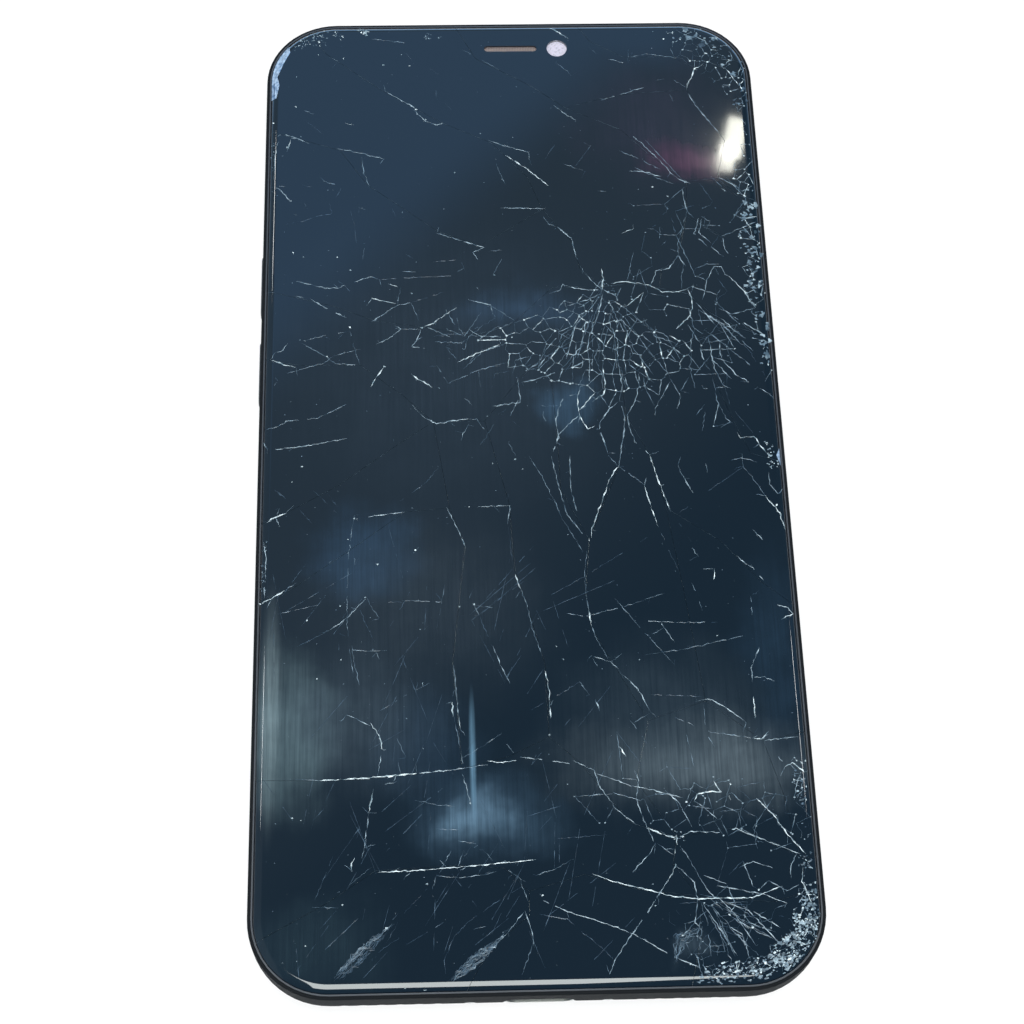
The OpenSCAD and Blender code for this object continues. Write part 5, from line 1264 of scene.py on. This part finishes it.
# %% Earpiece weave
MESH_PITCH = 0.24
WIRE_RADIUS = 0.045
WIRE_HEIGHT = 0.06         # mm over the CAD mesh
WAVE = 0.04                # mm that a wire goes up and down
mesh_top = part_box("earpiece_mesh")[1].z / MM
mesh_points, mesh_faces = [], []
half_long, half_wide = SLOT_SIZE.x / 2 + 0.3, SLOT_SIZE.y / 2 + 0.25


def wave(run, number, way):
    """The height of a wire some millimetres along it. Way is 1 for a wire along y, -1 for one along x."""
    return mesh_top + WIRE_HEIGHT + way * WAVE * math.cos(math.pi * (run / MESH_PITCH + number))


for number in range(-16, 17):
    x = SLOT_PLACE.x + number * MESH_PITCH
    runs = [step / 20 * half_wide for step in range(-20, 21)]
    path = [Vector((x, SLOT_PLACE.y + run, wave(run, number, 1))) for run in runs]
    wire(path, WIRE_RADIUS, mesh_points, mesh_faces)
for number in range(-3, 4):
    y = SLOT_PLACE.y + number * MESH_PITCH
    runs = [step / 100 * half_long for step in range(-100, 101)]
    path = [Vector((SLOT_PLACE.x + run, y, wave(run, number, -1))) for run in runs]
    wire(path, WIRE_RADIUS, mesh_points, mesh_faces)
mesh_steel = finish("woven_stainless_wire", "b8a6a2", 0.4, 0.6, 0.2, 0.1, 0.1)
weave = make_piece("earpiece_weave", mesh_points, mesh_faces, [mesh_steel], smooth_angle=60)


# %% Camera window
def disc(centre, radius, low, high, points, faces, steps=40):
    """Adds a closed flat disc."""
    first = len(points)
    for z in (high, low):
        for i in range(steps):
            angle = math.tau * i / steps
            points.append((centre.x + radius * math.cos(angle), centre.y + radius * math.sin(angle), z))
    close_prism(first, steps, faces)


clear_glass, clear_shader = new_material("clear_polished_glass")
clear_place = add(clear_glass, "TexCoord").outputs["Object"]
clear_marks = add(clear_glass, "TexNoise", {"Vector": clear_place, "Scale": 3000.0, "Detail": 4.0})
clear_alpha = add(clear_glass, "MapRange",
                  {0: clear_marks.outputs["Fac"], 1: 0.55, 2: 0.75, 3: 0.08, 4: 0.5})
connect(clear_glass, clear_shader, {"Base Color": linear("c8c8d4"), "Roughness": 0.05,
                                    "Alpha": clear_alpha.outputs[0]})
window_points, window_faces = [], []
disc(WINDOW_PLACE, WINDOW_RADIUS - 0.01, GLASS_TOP - 0.2, GLASS_TOP - 0.03, window_points, window_faces)
window = make_piece("camera_window", window_points, window_faces, [clear_glass])

# %% Camera foam
FOAM_RADIUS = 1.6
FOAM_RISE = 0.35           # mm over the CAD ring
pale_foam = finish("pale_pressed_foam", "c4bccc", 0.8, 0.0, 0.15, 0.1, 0.4)
foam_points, foam_faces = [], []
foam_low, foam_high = (corner.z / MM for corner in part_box("camera_gasket"))
disc(WINDOW_PLACE, FOAM_RADIUS, foam_low, foam_high + FOAM_RISE, foam_points, foam_faces)
foam = make_piece("camera_foam", foam_points, foam_faces, [pale_foam])
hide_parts("camera_gasket")

# %% [markdown]
# ## A finish for every other piece
#
# Each part of the phone keeps its CAD shape and gets the finish of what it is really made of. The first
# word of each name is how it was made, because that decides the grain: blasted aluminium is finely matt,
# moulded plastic is softly waved, foil is creased, and solder mask is a thin gloss over a woven board.
# Anodised aluminium is a metal under a dyed oxide. Here the dye is nearly black, so it gets a dark tone,
# a rough surface, no metallic value and, on the frame, little specular. Together these keep the sides
# dark where they mirror the floor.

# %% Finishes by slot
anodised = finish("blasted_anodised_aluminium", "101215", 0.7, 0.0, 0.25, 0.16, 0.3)
connect(anodised, anodised.node_tree.nodes["Principled BSDF"], {"Specular IOR Level": 0.1})
FINISHES = {
    "clear_adhesive": finish("rolled_clear_adhesive", "c8d0d2", 0.2, 0.0, 1.5, 0.04, 0.1),
    "display_panel": finish("laminated_display_black", "0c0c10", 0.15, 0.0, 0.4, 0.1, 0.05),
    "graphite_backing": finish("pressed_graphite_foil", "3a3a3c", 0.5, 0.3, 0.4, 0.2, 0.3),
    "bezel_plastic": finish("moulded_nylon_lip", "303238", 0.5, 0.0, 0.35, 0.22, 0.5),
    "flex_film": finish("etched_polyimide_film", "a8641c", 0.3, 0.0, 0.8, 0.1, 0.1),
    "mesh_steel": finish("punched_stainless_sheet", "8c807c", 0.45, 0.5, 0.2, 0.15, 0.3),
    "module_black": finish("moulded_black_resin", "202022", 0.45, 0.0, 0.3, 0.15, 0.3),
    "foam_pale": pale_foam,
    "frame_aluminium": anodised,
    "gap_plastic": finish("insert_moulded_resin", "3c3c40", 0.5, 0.0, 0.3, 0.12, 0.3),
    "button_aluminium": finish("machined_anodised_aluminium", "222428", 0.45, 0.0, 0.2, 0.1, 0.2),
    "switch_brass": finish("stamped_gilt_brass", "d8b060", 0.3, 1.0, 0.3, 0.1, 0.1),
    "card_white": finish("punched_white_card_plastic", "dcdcd6", 0.4, 0.0, 0.4, 0.04, 0.1),
    "board_fr4": finish("solder_masked_laminate", "1c4a38", 0.35, 0.0, 0.6, 0.2, 0.4),
    "shield_steel": finish("stamped_tinned_steel", "c0c0bc", 0.35, 1.0, 0.4, 0.08, 0.15),
    "chip_epoxy": finish("moulded_epoxy", "1c1c1e", 0.55, 0.0, 0.15, 0.15, 0.3),
    "screw_steel": finish("machined_steel", "a8a8a8", 0.3, 1.0, 0.15, 0.1, 0.1),
    "camera_glass": finish("coated_sapphire", "0a0a12", 0.06, 0.0, 0.5, 0.2, 0.02),
    "flash_phosphor": finish("cast_yellow_phosphor", "ead24c", 0.5, 0.0, 0.2, 0.08, 0.2),
    "flash_lens": finish("frosted_acrylic", "e8e6dc", 0.35, 0.0, 0.3, 0.05, 0.4),
    "battery_foil": finish("wrapped_pouch_foil", "2c2c30", 0.4, 0.3, 1.2, 0.2, 0.6),
    "pull_strip": finish("stretched_release_tape", "dededa", 0.4, 0.0, 0.8, 0.06, 0.2),
    "coil_copper": finish("wound_enamelled_copper", "c0703a", 0.3, 1.0, 0.25, 0.2, 0.4),
    "tape_black": finish("die_cut_black_tape", "18181a", 0.6, 0.0, 0.3, 0.15, 0.3),
    "back_glass": finish("polished_tinted_glass", "14181e", 0.08, 0.0, 2.0, 0.2, 0.03),
}
for name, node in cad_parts.items():
    for holder in node.material_slots:
        slot_name = holder.material.name.split(".")[0]
        if slot_name in FINISHES:
            holder.material = FINISHES[slot_name]
        elif name != "cover_glass":          # the shards stand for it
            print("no finish for", name, slot_name)
print(len(FINISHES), "finishes for", len(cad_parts), "CAD nodes")

# %% [markdown]
# ## The floor, the lamps and the world
#
# The phone lies on a plain pale floor. A soft lamp above lights it evenly, and its mirror image makes the
# white line where the flat glass starts to curve down at the lower rim. Two fills soften the shadows.
# Small lamps hang where the camera meets them by mirror: two for the glare at the upper right, and three
# for the pale lines on the curved side rims. The world is white where the camera looks at it, gives a
# little even light from all sides, and holds what the dark glass mirrors: a dim room with a large bluish
# screen whose slanting edge crosses the upper left of the glass, and a glow low behind the phone for its
# far rim.

# %% Floor
FLOOR_REACH = 3            # m
FLOOR_WHITE = 0.8          # how much of the seen floor is plain white, and not its shaded colour
floor_material, floor_shader = new_material("painted_white_board")
connect(floor_material, floor_shader, {"Base Color": linear("f0f0f2"), "Roughness": 0.9,
                                       "Specular IOR Level": 0.0})
seen = add(floor_material, "LightPath").outputs["Is Camera Ray"]
how_white = add(floor_material, "Math", {0: seen, 1: FLOOR_WHITE}, operation="MULTIPLY").outputs[0]
white = add(floor_material, "Emission", {"Color": (1, 1, 1, 1), "Strength": 1.0}).outputs[0]
blend = add(floor_material, "MixShader", {0: how_white, 1: floor_shader.outputs[0], 2: white})
connect(floor_material, floor_material.node_tree.nodes["Material Output"], {"Surface": blend.outputs[0]})
floor_mesh = bpy.data.meshes.new("floor")
floor_ends = ((-1, -1), (1, -1), (1, 1), (-1, 1))
floor_mesh.from_pydata([(FLOOR_REACH * x, FLOOR_REACH * y, 0) for x, y in floor_ends], [], [(0, 1, 2, 3)])
floor_mesh.materials.append(floor_material)
floor = bpy.data.objects.new("floor", floor_mesh)
floor.location.z = -0.0002
bpy.context.collection.objects.link(floor)
print("the floor is", 2 * FLOOR_REACH, "m wide")


# %% Lamps
def lamp(name, place, aim, size_x, size_y, power, colour=(1, 1, 1), glossy=True):
    """A rectangular soft lamp at a place, facing a point."""
    data = bpy.data.lights.new(name, "AREA")
    data.shape = "RECTANGLE"
    data.size = size_x
    data.size_y = size_y
    data.energy = power
    data.color = colour
    made = bpy.data.objects.new(name, data)
    made.location = place
    made.rotation_euler = (Vector(aim) - Vector(place)).to_track_quat("-Z", "Y").to_euler()
    made.visible_glossy = glossy
    bpy.context.collection.objects.link(made)


def mirrored(x, y, far, lean=0):
    """Where a lamp hangs for the camera to see it at that point of glass, which leans some degrees."""
    spot = Vector((x, y, GLASS_TOP)) * MM
    upright = Vector((math.sin(math.radians(lean)), 0, math.cos(math.radians(lean))))
    return spot + far * (spot - CAMERA_PLACE).normalized().reflect(upright)


LAMP_FAR = 0.9             # m from the glass
print("the glass's middle mirrors a lamp", round(mirrored(0, 0, LAMP_FAR).z, 2), "m up")

# %% Hang the lamps
EDGE_LAMPS = (             # name, where it is mirrored in mm, and how far the rim leans there in degrees
    ("upper_left", -34.3, 39.5, -13), ("lower_left", -34.3, -40, -13), ("lower_right", 34.9, -38, 13),
)
lamp("overhead", (-0.04, -0.3, 0.9), (0, -0.06, 0), 0.34, 0.8, 11, (0.94, 1, 0.98))
lamp("soft_fill_left", (-0.9, -0.5, 0.8), (0, 0, 0), 0.9, 0.9, 3, glossy=False)
lamp("soft_fill_right", (0.9, 0.1, 0.9), (0, 0, 0), 0.9, 0.9, 3, glossy=False)
lamp("glare_tall", mirrored(32.4, 51.4, LAMP_FAR), (0.032, 0.0505, 0.008), 0.011, 0.022, 0.02, (1, 1, 0.88))
lamp("glare_low", mirrored(31, 48, LAMP_FAR), (0.031, 0.048, 0.008), 0.009, 0.014, 0.01, (1, 1, 0.88))
for name, x, y, lean in EDGE_LAMPS:
    lamp("edge_" + name, mirrored(x, y, LAMP_FAR, lean), (x * MM, y * MM, 0.008), 0.1, 0.03, 0.3)
print(len(bpy.data.lights), "lamps")

# %% World: which way a ray goes
world = bpy.data.worlds.new("room")
bpy.context.scene.world = world
world.use_nodes = True
world.node_tree.nodes.clear()
towards = add(world, "TexCoord").outputs["Generated"]
split = add(world, "SeparateXYZ", {0: towards})
up = add(world, "Math", {0: split.outputs["Z"], 1: 0.02}, operation="MAXIMUM").outputs[0]
over_x = add(world, "Math", {0: split.outputs["X"], 1: up}, operation="DIVIDE").outputs[0]
over_y = add(world, "Math", {0: split.outputs["Y"], 1: up}, operation="DIVIDE").outputs[0]
slant = add(world, "Math", {0: over_y, 1: over_x}, operation="SUBTRACT").outputs[0]
print("the world's directions are divided by height, as on a flat ceiling")

# %% World: what the glass mirrors
beyond = add(world, "MapRange", {0: slant, 1: 0.61, 2: 0.69}, interpolation_type="SMOOTHSTEP").outputs[0]
dim = add(world, "MapRange", {0: slant, 1: 0.3, 2: 0.5}, interpolation_type="SMOOTHSTEP").outputs[0]
strip_y = add(world, "MapRange", {0: over_y, 1: 0.735, 2: 0.765}, interpolation_type="SMOOTHSTEP").outputs[0]
strip_x = add(world, "MapRange", {0: over_x, 1: 0.17, 2: 0.12}, interpolation_type="SMOOTHSTEP").outputs[0]
strip = add(world, "Math", {0: strip_y, 1: strip_x}, operation="MULTIPLY").outputs[0]
screen = add(world, "Math", {0: beyond, 1: strip}, operation="MAXIMUM").outputs[0]
screen_far = add(world, "MapRange", {0: over_y, 1: 1.4, 2: 1.0, 3: 0.0, 4: 1.0}).outputs[0]
screen = add(world, "Math", {0: screen, 1: screen_far}, operation="MULTIPLY").outputs[0]
screen_side = add(world, "MapRange", {0: over_x, 1: -0.3, 2: -0.14}).outputs[0]
screen = add(world, "Math", {0: screen, 1: screen_side}, operation="MULTIPLY").outputs[0]
room = add(world, "Mix", {0: dim, 6: (0.12, 0.27, 0.42, 1), 7: (0.33, 0.52, 0.7, 1)}, data_type="RGBA")
mirror_room = add(world, "Mix", {0: screen, 6: room.outputs[2], 7: (0.48, 0.9, 1.5, 1)}, data_type="RGBA")
low = add(world, "MapRange", {0: split.outputs["Z"], 1: 0.0, 2: 0.35, 3: 1.0, 4: 0.0}).outputs[0]
north = add(world, "MapRange", {0: split.outputs["Y"], 1: 0.5, 2: 0.9}).outputs[0]
window_glow = add(world, "Math", {0: low, 1: north}, operation="MULTIPLY").outputs[0]
mirror_all = add(world, "Mix", {0: window_glow, 6: mirror_room.outputs[2], 7: (2.2, 4.2, 7.0, 1)},
                 data_type="RGBA")
print("what is mirrored takes", len(world.node_tree.nodes), "nodes")

# %% World: what each kind of ray sees
rays = add(world, "LightPath")
mirrors = add(world, "Background", {"Color": mirror_all.outputs[2], "Strength": 1.0}).outputs[0]
even_light = add(world, "Background", {"Color": (0.85, 0.92, 1, 1), "Strength": 0.35}).outputs[0]
backdrop = add(world, "Background", {"Color": (1, 1, 1, 1), "Strength": 1.0}).outputs[0]
unlit = add(world, "MixShader", {0: rays.outputs["Is Glossy Ray"], 1: even_light, 2: mirrors}).outputs[0]
see = add(world, "Math", {0: rays.outputs["Is Camera Ray"], 1: rays.outputs["Is Transmission Ray"]},
          operation="MAXIMUM")
shown = add(world, "MixShader", {0: see.outputs[0], 1: unlit, 2: backdrop}).outputs[0]
add(world, "OutputWorld", {0: shown})
print("the world has", len(world.node_tree.nodes), "nodes")

# %% [markdown]
# ## The view transform
#
# Standard view transform shows each colour as it was picked.

# %% Finish
bpy.context.scene.view_settings.view_transform = "Standard"
